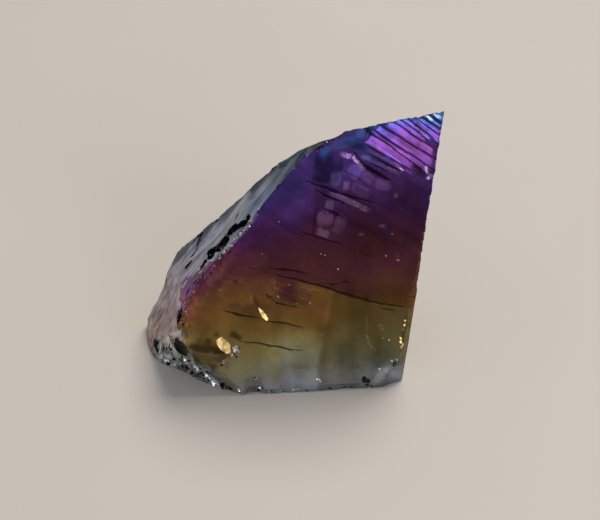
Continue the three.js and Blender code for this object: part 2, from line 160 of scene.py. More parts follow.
# Small spalls in the broken corner and by the foot: (spot, facing, reach, deep, finish).
SPALLS = (
    ((-5.95, 3.7, 3.1), (-0.35, 0.25, 0.9), 0.55, 0.16, "silver"),
    ((-5.6, 3.35, 2.9), (-0.9, 0.1, 0.4), 0.5, 0.2, "glass"),
    ((-5.2, 3.1, 2.5), (-0.25, 0.5, 0.8), 0.42, 0.12, "silver"),
    ((-4.95, 2.65, 2.0), (-0.1, 0.45, 0.85), 0.36, 0.1, "silver"),
    ((-5.75, 2.6, 3.0), (-0.6, -0.3, 0.7), 0.55, 0.2, "glass"),
    ((-6.35, 3.2, 3.5), (-0.2, 0.3, 0.9), 0.45, 0.14, "silver"),
    ((-6.75, 3.1, 4.4), (-0.95, 0.2, 0.3), 0.4, 0.16, "silver"),
    ((-7.3, 3.1, 5.0), (-0.8, -0.3, 0.5), 0.5, 0.3, "glass"),
    ((-4.6, 2.7, 1.5), (-0.5, 0.1, 0.85), 0.4, 0.16, "glass"),
    ((-4.3, 2.75, 1.1), (-0.1, 0.3, 0.93), 0.4, 0.12, "silver"),
    ((-4.0, 2.3, 1.2), (-0.4, -0.2, 0.9), 0.5, 0.16, "silver"),
    ((-5.3, 1.9, 3.0), (-0.3, 0.2, 0.9), 0.6, 0.14, "silver"),
    ((-4.8, 1.7, 2.7), (-0.9, -0.1, 0.4), 0.35, 0.14, "glass"),
    ((-3.7, 1.8, 1.4), (-0.2, -0.5, 0.8), 0.45, 0.16, "silver"),
    ((-3.8, 1.25, 1.85), (-0.5, -0.75, 0.4), 0.6, 0.25, "glass"),
    ((-3.2, 1.5, 0.9), (0.0, 0.2, 0.95), 0.45, 0.12, "silver"),
    ((-2.85, 1.0, 1.4), (-0.25, 0.15, 0.95), 0.55, 0.14, "silver"),
    ((-2.4, 0.75, 1.0), (-0.05, 0.3, 0.95), 0.42, 0.1, "silver"),
    ((-1.9, 0.7, 0.6), (-0.8, -0.1, 0.6), 0.42, 0.2, "glass"),
    ((-1.4, 0.25, 0.4), (-0.3, -0.6, 0.7), 0.5, 0.25, "glass"),
    ((-0.4, 0.45, 0.0), (0.1, 0.3, 0.95), 0.3, 0.1, "silver"),
    ((-5.3, 5.75, 1.0), (-0.5, 0.2, 0.85), 0.16, 0.12, "glass"),
    ((-5.15, 6.6, 0.6), (-0.8, 0.1, 0.6), 0.3, 0.2, "glass"),
    ((0.95, 1.55, 0.0), (0.2, 0.5, 0.85), 0.22, 0.08, "silver"),
    ((1.4, 0.6, 0.05), (0.2, 0.35, 0.9), 0.24, 0.08, "silver"),
    ((3.0, 0.75, 0.0), (0.1, -0.3, 0.95), 0.14, 0.05, "glass"),
    ((10.2, 1.0, 0.0), (-0.2, -0.2, 1), 0.34, 0.14, "dusk"),
    ((10.45, 0.7, 0.0), (-0.2, -0.3, 1), 0.42, 0.18, "dusk"),
    ((12.7, 2.2, 0.0), (0.2, -0.2, 1), 0.22, 0.1, "dusk"),
    ((-1.5, 0.4, 0.65), (-0.2, -0.4, 0.9), 0.3, 0.14, "glass"),
    ((-3.6, 1.55, 1.5), (-0.3, -0.8, 0.4), 0.4, 0.2, "glass"),
)

# Flat little breaks that face the light: (spot, direction of its length, reach, stretch, finish).
GLINTS = (
    ((-5.0, 2.68, 2.2), UPRIGHT, 0.22, 1.3, "silver"),
    ((-5.14, 3.14, 2.4), UPRIGHT, 0.19, 1.5, "silver"),
    ((-4.32, 2.92, 1.2), (0.6, -0.7, 0), 0.16, 1.8, "frost"),
    ((-5.8, 1.75, 3.5), (1, -0.2, 0), 0.14, 1.7, "silver"),
    ((-5.6, 3.75, 2.8), (0.5, -0.7, 0), 0.14, 3.2, "silver"),
    ((-5.9, 3.2, 3.0), (0.5, -0.7, 0), 0.1, 2.6, "silver"),
    ((-6.2, 3.9, 3.2), (0.6, -0.5, 0), 0.1, 2.2, "silver"),
    ((-6.6, 3.0, 3.8), (0.7, -0.3, 0), 0.12, 2.2, "pearl"),
    ((-5.5, 2.5, 2.7), (0.8, -0.2, 0), 0.11, 1.8, "silver"),
    ((-2.95, 1.25, 1.5), (0.5, -0.6, 0), 0.2, 2.2, "silver"),
    ((-2.45, 0.7, 1.2), (0.5, -0.6, 0), 0.22, 2.8, "silver"),
    ((-3.85, 2.1, 1.5), (0.8, -0.5, 0), 0.3, 1.6, "slate"),
    ((-6.3, 1.9, 4.0), (0.9, -0.3, 0), 0.3, 2.0, "slate"),
    ((-3.5, 2.0, 1.2), (0.9, -0.3, 0), 0.1, 1.6, "silver"),
    ((-0.42, 0.5, 0.06), UPRIGHT, 0.16, 1.6, "silver"),
    ((1.46, 0.6, 0.14), (1, -0.4, 0), 0.24, 1.3, "slate"),
    ((6.31, 1.1, 0.04), UPRIGHT, 0.17, 1.1, "silver"),
    ((6.15, 1.12, 0.03), (1, 0.15, 0), 0.07, 5, "silver"),
    ((11.5, 1.75, 0.04), UPRIGHT, 0.12, 1, "frost"),
    ((12.5, 2.45, 0.03), (0.8, 0.6, 0), 0.08, 2.6, "frost"),
    ((12.97, 2.48, 0.03), UPRIGHT, 0.1, 1.6, "frost"),
    ((13.3, 4.45, 0.0), (0.16, -1, 0), 0.1, 2.4, "gold"),
    ((13.34, 4.1, 0.0), (0.16, -1, 0), 0.12, 2.4, "gold"),
    ((13.42, 3.72, 0.0), UPRIGHT, 0.2, 1.4, "gold"),
    ((13.66, 6.0, 0.0), (0.16, 1, 0), 0.09, 2.4, "gold"),
    ((13.62, 5.6, 0.0), (0.16, 1, 0), 0.1, 2.6, "gold"),
    ((13.55, 5.2, 0.0), (0.16, 1, 0), 0.1, 2.4, "gold"),
)

# Grains of grit that stuck to the hot skin and broke away: (across, up) on the broad face.
SPECKS = (
    (3.07, 8.67), (4.02, 9.68), (5.72, 8.0), (3.35, 15.17), (5.29, 16.79), (6.74, 12.24),
    (7.08, 12.1), (8.13, 10.86), (-1.72, 9.54), (4.62, 4.41), (6.39, 1.05), (6.58, 1.68),
    (1.87, 12.49), (12.67, 13.67), (12.14, 11.79), (11.8, 4.55), (12.3, 4.3),
    (16.8, 22.75), (16.75, 22.2), (16.3, 21.1), (13.5, 18.95), (2.2, 19.2), (9.6, 16.6),
)  # fmt: skip
BIG_SPECKS = ((3.07, 8.67), (6.39, 1.05), (4.62, 4.41), (4.02, 9.68))

# Splinters lifted clean out of the broad face: (corners, slope of the floor, least depth, finish).
SPLINTERS = (
    (((-2.24, 5.12), (-1.72, 5.45), (-1.24, 5.09), (-0.93, 4.54), (-1.03, 4.02), (-1.37, 3.85),
      (-1.86, 4.23), (-2.17, 4.7)), (0.2, 0.26), 0.02, "gold"),
    (((1.35, 7.85), (1.65, 7.75), (2.05, 7.2), (2.26, 6.77), (2.08, 6.58), (1.68, 6.98)),
     (0.2, 0.27), 0.02, "gold"),
)
# Clusters of splinters about a spot: (centre, spread, how many, seed).
CRUMBLED = (
    ((-0.6, 4.3), 0.36, 16, 3),
    ((-0.8, 3.7), 0.34, 12, 4),
    ((-1.7, 3.05), 0.3, 5, 5),
)

# Rows of small chips along worn arrises: (path, facing, how many, least and most reach, depth as
# a part of reach, how far they stray, finishes in turn, seed).
CHIP_ROWS = (
    (((-0.6, 13.2, 0.1), (-3.1, 10.35, 0.1), (-4.6, 8.5, 0.1), (-5.0, 7.0, 0.1), (-4.8, 5.8, 0.1)),
     (0.1, 0.3, 0.93), 40, (0.16, 0.4), 0.3, 0.16, ("skin",), 1),
    (((-1.8, 12.1, 0.5), (-3.6, 10.2, 0.6), (-5.0, 8.4, 0.6), (-5.3, 7.0, 0.5)),
     (-0.2, 0.4, 0.85), 24, (0.18, 0.42), 0.26, 0.16, ("skin",), 2),
    # the crisp pale ridge between the pits and the face
    (((1.1, 15.5, 0.1), (0.2, 14.3, 0.1), (-0.9, 13.1, 0.2), (-1.6, 12.25, 0.3), (-2.3, 12.1, 0.9)),
     (0.1, 0.35, 0.93), 22, (0.1, 0.24), 0.26, 0.09, ("frost", "pearl", "pearl"), 12),
    (((13.6, 2.4, 0.1), (15.9, 16.0, 0.1), (17.0, 23.4, 0.1)),
     (0.75, 0.0, 0.65), 18, (0.12, 0.3), 0.3, 0.06, ("skin",), 3),
    (((5.5, 20.5, 0.05), (8.9, 22.6, 0.05), (16.8, 23.8, 0.05)),
     (-0.1, 0.6, 0.8), 12, (0.12, 0.3), 0.22, 0.08, ("skin",), 4),
    (((5.3, 21.25, 0.7), (2.1, 18.15, 3.1), (-1.15, 14.5, 5.9), (-5.1, 10.45, 8.3), (-7.2, 6.95, 9)),
     (-0.6, 0.7, 0.0), 18, (0.25, 0.55), 0.2, 0.12, ("glass", "pearl"), 5),
    (((0.2, 0.2, 0.05), (11.3, 0.15, 0.05)),
     (0.0, -0.6, 0.8), 9, (0.15, 0.35), 0.2, 0.05, ("pearl", "skin"), 6),
    # the pits' ragged edges
    (((0.9, 15.5, 0.4), (-0.5, 14.1, 0.9), (-1.4, 13.1, 1.2), (-2.4, 12.2, 1.9)),
     (-0.7, 0.5, 0.4), 34, (0.12, 0.3), 0.55, 0.34, ("glass", "glass", "pearl"), 7),
    # the shattered corner
    (((-7.0, 3.0, 4.6), (-5.9, 3.3, 3.1), (-5.0, 2.7, 2.2), (-4.1, 2.1, 1.5), (-3.0, 1.1, 1.3)),
     (-0.35, 0.0, 0.9), 34, (0.2, 0.42), 0.42, 0.4, ("silver", "glass", "silver"), 8),
    (((-6.6, 2.0, 4.0), (-5.2, 1.6, 2.9), (-3.8, 1.4, 1.9)),
     (-0.3, -0.4, 0.9), 12, (0.3, 0.5), 0.3, 0.25, ("silver", "pearl"), 9),
)  # fmt: skip

# Scars on the hidden sides: ((right, back, up), facing, reach, deep), in the standing stone.
BACK_SCARS = (
    ((6.0, 11.9, 11.0), (-0.05, 0.95, 0.3), 7.0, 0.9),
    ((-2.0, 12.7, 5.5), (-0.2, 0.93, 0.25), 5.5, 0.8),
    ((9.5, 13.6, 4.0), (0.15, 0.97, 0.15), 4.8, 0.7),
    ((-7.0, 10.2, 4.0), (-0.7, 0.7, 0.1), 3.2, 0.5),
    ((12.5, 10.7, 17.0), (0.05, 0.96, 0.25), 3.5, 0.3),
    ((13.6, 9.6, 9.0), (0.97, 0.2, -0.12), 2.9, 0.25),
    ((12.85, 7.8, 2.2), (0.98, 0.12, -0.1), 3.4, 0.3),
)

# Ledges of the ridged tip: (from, to, tread at each end, depth at each end, half width of its
# line of painted shade).
LEDGES = (
    ((10.79, 21.25), (14.9, 18.6), (0.32, 0.36), (0.03, 0.06), 0.1),
    ((11.13, 22.24), (15.2, 19.1), (0.95, 0.6), (0.33, 0.2), 0.07),
    ((11.2, 22.6), (16.4, 18.8), (0.3, 0.62), (0.09, 0.18), 0.12),
    ((11.8, 23.0), (16.9, 19.42), (0.62, 0.76), (0.2, 0.23), 0.15),
    ((12.65, 23.32), (16.8, 20.32), (0.7, 0.66), (0.21, 0.17), 0.11),
    ((13.35, 23.4), (15.9, 21.4), (0.42, 0.34), (0.13, 0.09), 0.1),
    ((13.8, 23.53), (16.2, 21.65), (0.36, 0.36), (0.11, 0.1), 0.07),
    ((14.4, 23.64), (17.3, 21.3), (0.36, 0.5), (0.04, 0.17), 0.09),
    ((14.98, 23.64), (17.2, 21.9), (0.34, 0.3), (0.05, 0.06), 0.05),
    ((15.63, 23.7), (17.2, 22.35), (0.24, 0.3), (0.07, 0.05), 0.07),
    ((16.29, 23.83), (17.2, 22.95), (0.2, 0.26), (0.06, 0.08), 0.06),
)

# Cracks: (width, depth, path), widest in the middle of the path.
CRACKS = (
    (0.3, 0.25, ((2.0, 11.0), (3.3, 10.5), (6.6, 9.45), (9.1, 8.45), (11.6, 7.65), (14.3, 7.1))),
    (0.26, 0.16, ((2.3, 11.3), (3.7, 11.05), (5.6, 10.6))),
    (0.12, 0.12, ((11.1, 7.45), (12.0, 7.15), (13.1, 6.9))),
    (0.12, 0.12, ((7.0, 9.7), (7.5, 9.55), (7.9, 9.5))),
    (0.14, 0.14, ((8.3, 9.8), (8.7, 9.75), (9.2, 9.55))),
    (0.26, 0.2, ((-1.8, 7.85), (-0.15, 7.25), (1.45, 6.95))),
    (0.26, 0.2, ((1.8, 6.65), (3.6, 6.3), (5.2, 5.8))),
    (0.22, 0.18, ((-0.3, 5.0), (2.1, 4.45), (3.9, 4.0), (5.0, 3.85))),
    (0.24, 0.25, ((5.0, 18.8), (7.2, 17.95), (9.4, 17.0), (11.5, 16.25))),
    (0.2, 0.2, ((6.2, 17.8), (8.0, 16.9), (9.5, 16.0))),
    (0.18, 0.18, ((7.0, 16.15), (8.0, 15.7), (8.9, 15.1))),
    (0.18, 0.18, ((4.7, 14.45), (6.1, 13.85), (8.8, 12.9))),
    (0.14, 0.14, ((6.6, 14.65), (7.5, 14.2), (8.3, 13.6))),
    (0.14, 0.14, ((1.7, 9.1), (3.05, 8.15), (4.95, 7.6))),
    (0.26, 0.28, ((9.4, 21.0), (10.5, 19.6), (12.1, 18.5), (12.9, 18.1))),
    (0.2, 0.2, ((10.4, 20.15), (11.5, 19.5), (12.7, 18.9))),
    (0.2, 0.2, ((11.0, 20.5), (12.4, 19.6), (13.9, 18.85))),
    (0.12, 0.12, ((6.43, 9.72), (7.6, 9.55), (8.7, 9.6))),
    (0.12, 0.12, ((1.8, 9.1), (2.3, 8.8), (2.8, 8.6))),
    (0.14, 0.14, ((3.8, 8.7), (4.5, 8.2), (5.1, 7.8))),
    # hairlines
    (0.13, 0.08, ((7.9, 19.65), (9.3, 18.9), (10.35, 18.2), (10.8, 17.7))),
    (0.11, 0.06, ((2.3, 8.5), (3.3, 7.95), (4.6, 7.65))),
    (0.12, 0.06, ((12.4, 16.6), (13.6, 15.9), (14.6, 15.6))),
    (0.1, 0.05, ((0.2, 11.9), (0.8, 11.4), (1.7, 11.2))),
    (0.1, 0.05, ((9.2, 12.6), (10.6, 12.0), (11.6, 11.75))),
)

# ---------------------------------------------------------------- relief the solid leaves out

CRACK_TIP = 0.25  # a crack's width at its ends, as a part of its full width
CRACK_WANDER, LEDGE_WANDER = 0.07, 0.05  # how far cracks and ledges stray from their paths
CRACK_UNEVEN = 0.35  # how much a crack's width varies on its way, as a part of it
CRACK_SHADE_SPREAD = 0.75  # half the width of the painted shade and bare film along a crack, as a part of its width
RISER = 0.04  # width of a ledge's steep side
CRACK_BARE_AND_SHADE, LEDGE_LINE_SHADE = 0.92, 0.8  # at most, how far cracks are darkened as painted shade and bared of film, and ledges' deep lines darkened as painted shade
FINE_SWELL, FLOW, GRAIN = 0.012, 0.006, 0.012  # height of the face's small swells, lines, grain
BAND_STREAK, BAND_GRAIN, BEVEL_SWELL, BACK_GRAIN = 0.02, 0.012, 0.02, 0.03  # and of the others'

CRACK_LANES = (-0.5, -0.25, 0, 0.25, 0.5)  # rows of points along a crack, in parts of its width
LEDGE_LANES = (-0.08, 0, RISER, 0.1)  # rows of points along a ledge, in mm from its edge
GUIDE_STEP = 0.07  # spacing of the points in those rows
FINE_REACH = 0.3  # how far from cracks, ledges and flakes the fine net goes
HEX_ROW = 0.866  # gap between the rows of a hexagonal net, as a part of its spacing
EDGE_STEP = 0.8  # spacing of points along the blank's edges, as a part of the net's
NET_GAP = 0.45  # least gap kept between points of a net, as a part of its spacing
GUIDE_GAP = 0.55  # and between the fine net and the rows along cracks and ledges
BUCKET = 0.2  # buckets that points are sorted into to find near ones; wider than such a gap
EASINGS = (("band", 25), ("corner", 4), ("back", 12), ("right", 6))  # rounds of easing, by side
EASING = 0.6  # how far towards its neighbours a point goes in one round
ALIGNED = 0.999  # directions with a cosine above this are the same
SAME_PLANE = math.radians(0.3)  # facets that meet flatter than this are one
SAME_POINT, ON_PLANE = 1e-3, 1e-6  # points this near are the same, or on a plane

# How ragged bites are, as a part of their size, by sort.
SCAR_RAGGED, SCALE_RAGGED, GLINT_RAGGED, PIT_RAGGED = 0.16, 0.3, 0.5, 0.85
BITE_SPILL = (1.12, 1.3)  # a cutting dish runs on past the bite's edge by these factors
RIPPLE_DEEP = 0.012  # depth of a bite's ripples, as a part of its reach
RIPPLE_TURNS = 17  # how far they turn from its middle to its edge, in radians
GLINT_WAY = (0.22, 0.3, 0.93)  # the facing that glints
GLINT_SUNK = 0.25  # how deep one is set, as a part of its reach
GLINT_HOLLOW = 0.12  # depth of a glinting break, as a part of its reach
SPECK, BIG_SPECK = 0.085, 0.13  # reach of a speck
SPECK_DEEP = 0.3  # its depth, as a part of its reach
SLATE_FROM = 12  # specks above this height are slate, the ones below crushed white
CHIP_SWERVE = 0.35  # how far a small chip's facing strays
CRUMB, CRUMB_SLOPE, CRUMB_DEEP = (0.07, 0.17), (0.45, 0.55), 0.015  # reach, steepest slope, depth
SPLINTER_LID = 0.5  # how far a splinter's cutter stands out of the face
SPLINTER_PEAK = 0.7  # height of the peak in a splinter's floor, as a part of its least depth
CHUNK_FLATS = 5  # flats in the floor of an angular spall
CHUNK_LONG = 1.3  # its length, as a part of its width
LAID_FROM, LAID_WITHIN = 1.0, 2.5  # a cut is laid from this far out, on a surface this near
CUT_GAP = 0.02  # room round each cut, so that the cuts of one round don't touch
SPALL_SEED, SPECK_SEED = 100, 500  # added to a cut's number, so that no two sorts look alike

# The finishes on a spall's flats, in turn, where they aren't all as it is listed.
FLAT_FINISHES = {
    "silver": ("silver", "slate", "silver", "glass", "silver"),
    "glass": ("glass", "glass", "slate"),
    "pearl": ("pearl", "pearl", "glass"),
}

# Where the blank's finishes end, before the cuts.
FILM_WRAP = 1.25  # how far the face's film wraps onto the band
BEVEL_WRAP = 1.6  # how much further by the chipped bevel
PEARL_WRAP = 1.4  # how far the band's pearl runs on over its back rim
BROKEN_REACH = 1.5  # how far the hazed ground spreads from the middle of the broken corner
RIM_REACH, RIM_NARROWING = 1.6, 0.6  # width of the painted dark reflection along the band's back rim, and what it loses on top

# Flat flakes lifted off the broad face: (centre, half length, half width, direction in degrees,
# slope across and up). A sloping flake is lit as its neighbours aren't.
FLAKES = (
    ((9.75, 19.15), 0.55, 0.5, -40, (0.06, 0.09)),
    ((10.7, 18.55), 0.5, 0.42, -40, (0.05, 0.08)),
    ((12.0, 17.9), 0.65, 0.4, -20, (0.04, 0.05)),
    ((9.0, 17.95), 0.3, 0.38, -10, (0.05, 0.06)),
    ((10.1, 17.5), 0.8, 0.45, -20, (0.05, 0.07)),
    ((8.1, 18.6), 0.45, 0.55, -10, (0.03, 0.05)),
    ((7.23, 15.25), 0.62, 0.62, -20, (0.07, 0.1)),
    ((7.58, 16.42), 0.33, 0.33, -20, (0.05, 0.08)),
    ((7.0, 14.08), 0.5, 0.4, -20, (0.06, 0.08)),
    ((8.3, 14.7), 0.45, 0.75, -25, (0.04, 0.05)),
    ((9.15, 16.66), 1.7, 0.19, -27, (0.04, 0.06)),
    ((10.35, 15.9), 0.4, 0.14, -20, (0.05, 0.07)),
    ((9.05, 20.55), 0.5, 0.26, -16, (0.13, 0.17)),
    ((9.9, 19.97), 0.75, 0.26, -54, (0.12, 0.16)),
    ((13.45, 19.25), 0.42, 0.15, -38, (0.2, 0.28)),
    ((15.8, 18.4), 0.26, 0.2, 30, (0.22, 0.3)),
    ((15.6, 18.95), 0.4, 0.12, 100, (0.16, 0.22)),
    ((4.6, 8.4), 0.9, 0.35, -18, (0.04, 0.05)),
    ((5.6, 9.0), 0.8, 0.3, -18, (0.03, 0.05)),
    ((3.6, 9.5), 0.8, 0.35, -18, (-0.03, 0.04)),
    ((1.3, 8.3), 0.6, 0.4, -70, (-0.05, 0.02)),
    ((13.3, 12.6), 1.2, 0.3, 80, (0.04, -0.03)),
    ((-0.4, 10.2), 0.9, 0.25, -30, (0.02, 0.05)),
    ((-2.9, 4.35), 1.3, 0.3, -6, (-0.02, -0.06)),
    ((-2.6, 2.75), 0.5, 0.4, -10, (0.02, -0.06)),
)

# Clouds laid over the skin: (centre, half length, half width, direction in degrees, tone, extra
# film, how far greyed). Most are the skin's own tone and film; the highlights marked among them are
# painted.
CLOUDS = (
    # the dark shoulder and its blue patches
    ((7.4, 19.5), 1.15, 1.2, -20, 0.36, 0.3, 0),
    ((3.6, 17.6), 1.7, 1.2, 50, 0.7, 0, 0),
    ((9.7, 21.4), 0.9, 0.3, -20, 0.45, 0.8, 0),
    ((7.28, 20.9), 0.55, 0.32, 60, 1.5, 2.6, 0.04),
    ((8.9, 21.6), 1.0, 0.4, 15, 1.1, 1.6, 0.06),
    ((10.25, 22.35), 0.35, 0.4, 0, 1.5, 2.6, 0.08),
    ((7.4, 17.5), 0.6, 0.5, 20, 0.65, 0, 0),
    # the ridged tip, dimmer at its upper left
    ((11.6, 21.6), 1.6, 0.9, -35, 0.8, -0.6, 0),
    ((12.3, 22.3), 0.9, 0.5, -35, 0.85, -0.4, 0),
    ((9.5, 20.4), 0.5, 0.4, -35, 0.75, 0, 0),
    # the bright hook: a painted highlight, pink and greyed, over two flakes that slope towards the
    # light
    ((9.05, 20.55), 0.5, 0.24, -16, 2.1, -1.8, 0.25),
    ((9.9, 19.97), 0.75, 0.22, -54, 2.1, -1.8, 0.3),
    # flakes below it
    ((9.75, 19.15), 0.6, 0.55, -40, 1.55, 0.2, 0.06),
    ((10.7, 18.55), 0.5, 0.42, -40, 1.5, -0.8, 0.08),
    ((12.0, 17.9), 0.65, 0.4, -20, 1.5, -0.2, 0.12),
    ((9.0, 17.95), 0.3, 0.38, -10, 1.6, 0.5, 0.22),
    ((10.1, 17.5), 0.8, 0.45, -20, 1.45, 0.5, 0.05),
    ((8.1, 18.6), 0.45, 0.55, -10, 1.5, 0.4, 0.1),
    ((11.3, 19.05), 1.9, 0.26, -37, 0.5, 0, 0),
    # bars under the ridged tip
    ((12.0, 20.2), 1.4, 0.12, -31, 1.25, 0.4, 0.12),
    # a painted highlight along a sloping flake
    ((13.45, 19.25), 0.42, 0.15, -38, 1.7, 0.3, 0.3),
    ((11.9, 19.5), 1.7, 0.15, -27, 1.3, 0.2, 0.14),
    ((10.6, 20.3), 0.4, 0.15, -15, 1.5, 0.4, 0.2),
    # the pale bar and the ladder of flakes
    ((9.15, 16.66), 1.75, 0.21, -27, 1.6, 0, 0.26),
    ((10.35, 15.9), 0.4, 0.15, -20, 1.6, 0, 0.26),
    ((7.58, 16.42), 0.34, 0.34, -20, 1.5, 0.2, 0.2),
    ((7.23, 15.25), 0.64, 0.64, -20, 1.65, -0.2, 0.12),
    ((7.0, 14.08), 0.5, 0.4, -20, 1.7, 0.2, 0.24),
    ((8.3, 14.7), 0.45, 0.75, -25, 1.25, -0.3, 0.1),
    ((6.3, 15.2), 1.3, 0.1, 82, 0.5, 0, 0),
    ((11.93, 14.4), 0.25, 0.11, -20, 1.8, 0, 0.3),
    ((13.03, 16.92), 0.16, 0.2, 0, 1.6, 0, 0.25),
    ((10.1, 13.8), 0.17, 0.13, 0, 1.7, 0, 0.25),
    # the tip: a darker base tone, with painted highlights as thin white streaks on the treads by the
    # crest, on the crest itself and on the bright bit at the right end of the ledges
    ((11.0, 22.35), 0.5, 0.22, -45, 0.3, 0.4, 0),
    ((12.3, 20.95), 0.9, 0.4, -36, 1.25, 0, 0),
    ((15.2, 19.2), 1.0, 0.55, -38, 0.62, -0.4, 0),
    ((15.2, 22.45), 0.75, 0.3, -38, 0.5, 0, 0.03),
    ((16.35, 22.6), 0.45, 0.3, -38, 0.75, 0, 0.03),
    ((16.1, 23.35), 1.1, 0.5, -36, 0.6, 0, 0),
    ((16.0, 21.5), 0.4, 0.3, -38, 1.2, 1.4, 0),
    ((15.75, 23.42), 0.5, 0.07, -32, 1.5, 0.5, 0.6),
    ((15.9, 23.25), 0.2, 0.11, -34, 1.5, 0.5, 0.6),
    ((15.3, 23.62), 0.35, 0.05, -34, 1.5, 0.5, 0.5),
    ((16.33, 23.5), 0.32, 0.06, -40, 1.5, 0.5, 0.65),
    ((16.78, 23.44), 0.36, 0.06, -42, 1.5, 0.5, 0.65),
    ((15.0, 23.28), 0.42, 0.06, -38, 1.6, 0.5, 0.5),
    ((12.2, 22.1), 0.9, 0.5, -36, 0.8, 0, 0),
    ((14.0, 23.55), 0.5, 0.09, 3, 2.1, 0.5, 0.5),
    ((12.7, 23.2), 0.16, 0.1, 0, 1.8, 0.5, 0.5),
    ((15.8, 18.4), 0.28, 0.2, 30, 3.2, 0, 0.6),
    ((15.6, 18.95), 0.42, 0.12, 100, 1.9, 0, 0.4),
    # the darker right side
    ((15.0, 17.0), 1.2, 1.8, 10, 0.8, 0, 0),
    ((10.5, 13.2), 3.0, 1.3, -20, 0.85, 0, 0),
    # the middle
    ((0.2, 11.6), 2.0, 1.0, 20, 1.45, -0.4, 0),
    ((0.6, 9.4), 2.4, 1.2, 0, 1.22, -0.7, 0),
    ((4.4, 8.7), 1.5, 0.7, -18, 0.85, 0.8, 0),
    ((5.2, 9.1), 0.45, 0.3, -20, 1.25, 0.6, 0.05),
    ((3.4, 9.4), 0.5, 0.3, -20, 1.2, -0.4, 0),
    ((1.25, 8.4), 0.5, 0.2, -75, 0.72, 0.5, 0),
    ((-2.0, 8.0), 1.6, 1.0, 0, 1.05, 0.1, 0),
    ((4.6, 4.1), 2.2, 1.4, 5, 1.25, -0.3, 0),
    ((1.2, 7.4), 1.2, 0.7, 0, 0.8, 0, 0),
    ((-3.8, 6.2), 1.1, 0.9, 60, 0.76, 0, 0),
    ((5.0, 1.9), 0.9, 0.6, 0, 0.86, 0, 0),
    # the chipped bevel: violet, then magenta and pink-brown
    ((-4.7, 7.6), 0.9, 0.3, 78, 0.7, -1.2, 0),
    ((-3.95, 10.55), 0.9, 0.42, 50, 1.35, 3.8, 0.05),
    ((-4.35, 9.55), 0.8, 0.5, 50, 1.2, 5.2, 0.2),
    ((-5.1, 8.2), 0.9, 0.45, 75, 1.5, 3.4, 0.4),
    ((-2.9, 11.5), 0.7, 0.3, 50, 1.5, 1.6, 0.04),
    ((-2.45, 10.7), 0.7, 0.45, 50, 1.3, -0.4, 0.08),
    ((-4.7, 8.7), 1.1, 0.32, 78, 1.25, 0.8, 0.16),
    # the smooth zone by the foot
    ((-3.0, 3.9), 1.7, 1.2, -20, 0.36, 0.7, 0.02),
    ((-3.0, 4.35), 1.6, 0.34, -5, 0.5, 0.5, 0),
    ((-2.5, 3.78), 0.6, 0.09, -14, 1.5, 0, 0.1),
    ((-3.6, 3.95), 0.7, 0.07, -8, 1.3, 0, 0.06),
    ((-2.75, 2.9), 0.42, 0.32, -30, 0.62, 0, 0),
    ((-0.52, 5.4), 0.5, 0.28, -40, 0.4, 0.3, 0),
    ((-2.15, 5.68), 0.2, 0.18, 0, 0.5, 0.3, 0),
    ((-1.7, 3.1), 0.5, 0.12, 40, 1.5, 0, 0.25),
    ((0.75, 0.95), 0.8, 0.8, 0, 0.6, -0.8, 0.05),
    ((8.0, 0.7), 4.4, 1.6, 3, 1.3, -0.2, 0.02),
    ((12.4, 1.0), 1.3, 1.0, 0, 1.4, -3, 0),
    # a painted highlight along the upper edge of the lower right corner's facet
    ((11.6, 1.2), 1.0, 0.3, 52, 1.6, 0, 0.3),
    ((12.3, 2.1), 0.8, 0.4, 30, 1.3, 0, 0.1),
    ((13.55, 4.7), 1.6, 0.16, 82, 0.5, 0, 0),
    ((11.6, 2.6), 1.5, 0.9, 10, 0.85, -0.4, 0),
    # hairline wisps on the right
    ((10.42, 5.6), 0.95, 0.08, 89, 1.2, 0, 0.12),
    ((10.45, 4.8), 0.11, 0.1, 0, 1.6, 0, 0.4),
    ((10.65, 4.2), 0.38, 0.08, -70, 1.3, 0, 0.2),
    ((10.95, 3.72), 0.28, 0.06, -40, 1.5, 0, 0.3),
    ((11.48, 5.73), 0.22, 0.06, -20, 1.4, 0, 0.2),
    ((11.73, 5.36), 0.2, 0.05, -10, 1.3, 0, 0.2),
)

# Pale ground rims, where a break meets the skin: (half width, path).
PALE_RIMS = (
    (0.2, ((-2.4, 11.5, 0.05), (-1.5, 12.65, 0.02), (0.4, 14.55, 0.02), (1.5, 15.95, 0.02))),
    (0.3, ((-5.9, 5.0, 2.3), (-5.5, 5.4, 1.4), (-4.95, 5.5, 0.7), (-4.72, 5.2, 0.4))),
    # this one is a painted highlight along the upper edge of the lower right corner's facet
    (0.12, ((10.72, 0.4, 0.05), (11.2, 1.1, 0.05), (11.75, 1.8, 0.05))),
    (0.13, ((-4.72, 5.2, 0.4), (-4.5, 4.4, 0.4), (-4.3, 3.6, 0.7), (-4.15, 3.0, 1.0))),
)  # fmt: skip
# Where the straw skin changes tone, lighter towards the band.
TIDE_LINE = ((7.75, 9.2), (7.19, 6.41), (6.64, 4.2), (6.27, 2.87), (6.2, 0.0))

# ---------------------------------------------------------------- places, directions and noise

STAND = np.array(Matrix.Rotation(TURN, 3, "Z") @ Matrix.Rotation(-LEAN, 3, "X"))
FACE_OUT = -STAND[:, 1]


def unit(way):
    """A direction, made one long."""
    return np.array(way) / np.linalg.norm(way)


# Axes with the first one down the length of the band, or along the tip's ledges.
BAND_WAY = unit(DOWN_BAND)
BAND_AXES = np.column_stack((BAND_WAY, (-BAND_WAY[1], BAND_WAY[0], 0), (0, 0, 1)))
LEDGE_AXES = np.column_stack(((0.8, -0.6, 0), (0.6, 0.8, 0), (0, 0, 1)))


def at(across, up, behind=0.0):
    """A point given on the broad face, in the part's frame."""
    return STAND @ (across, behind, up) + FACE_CORNER


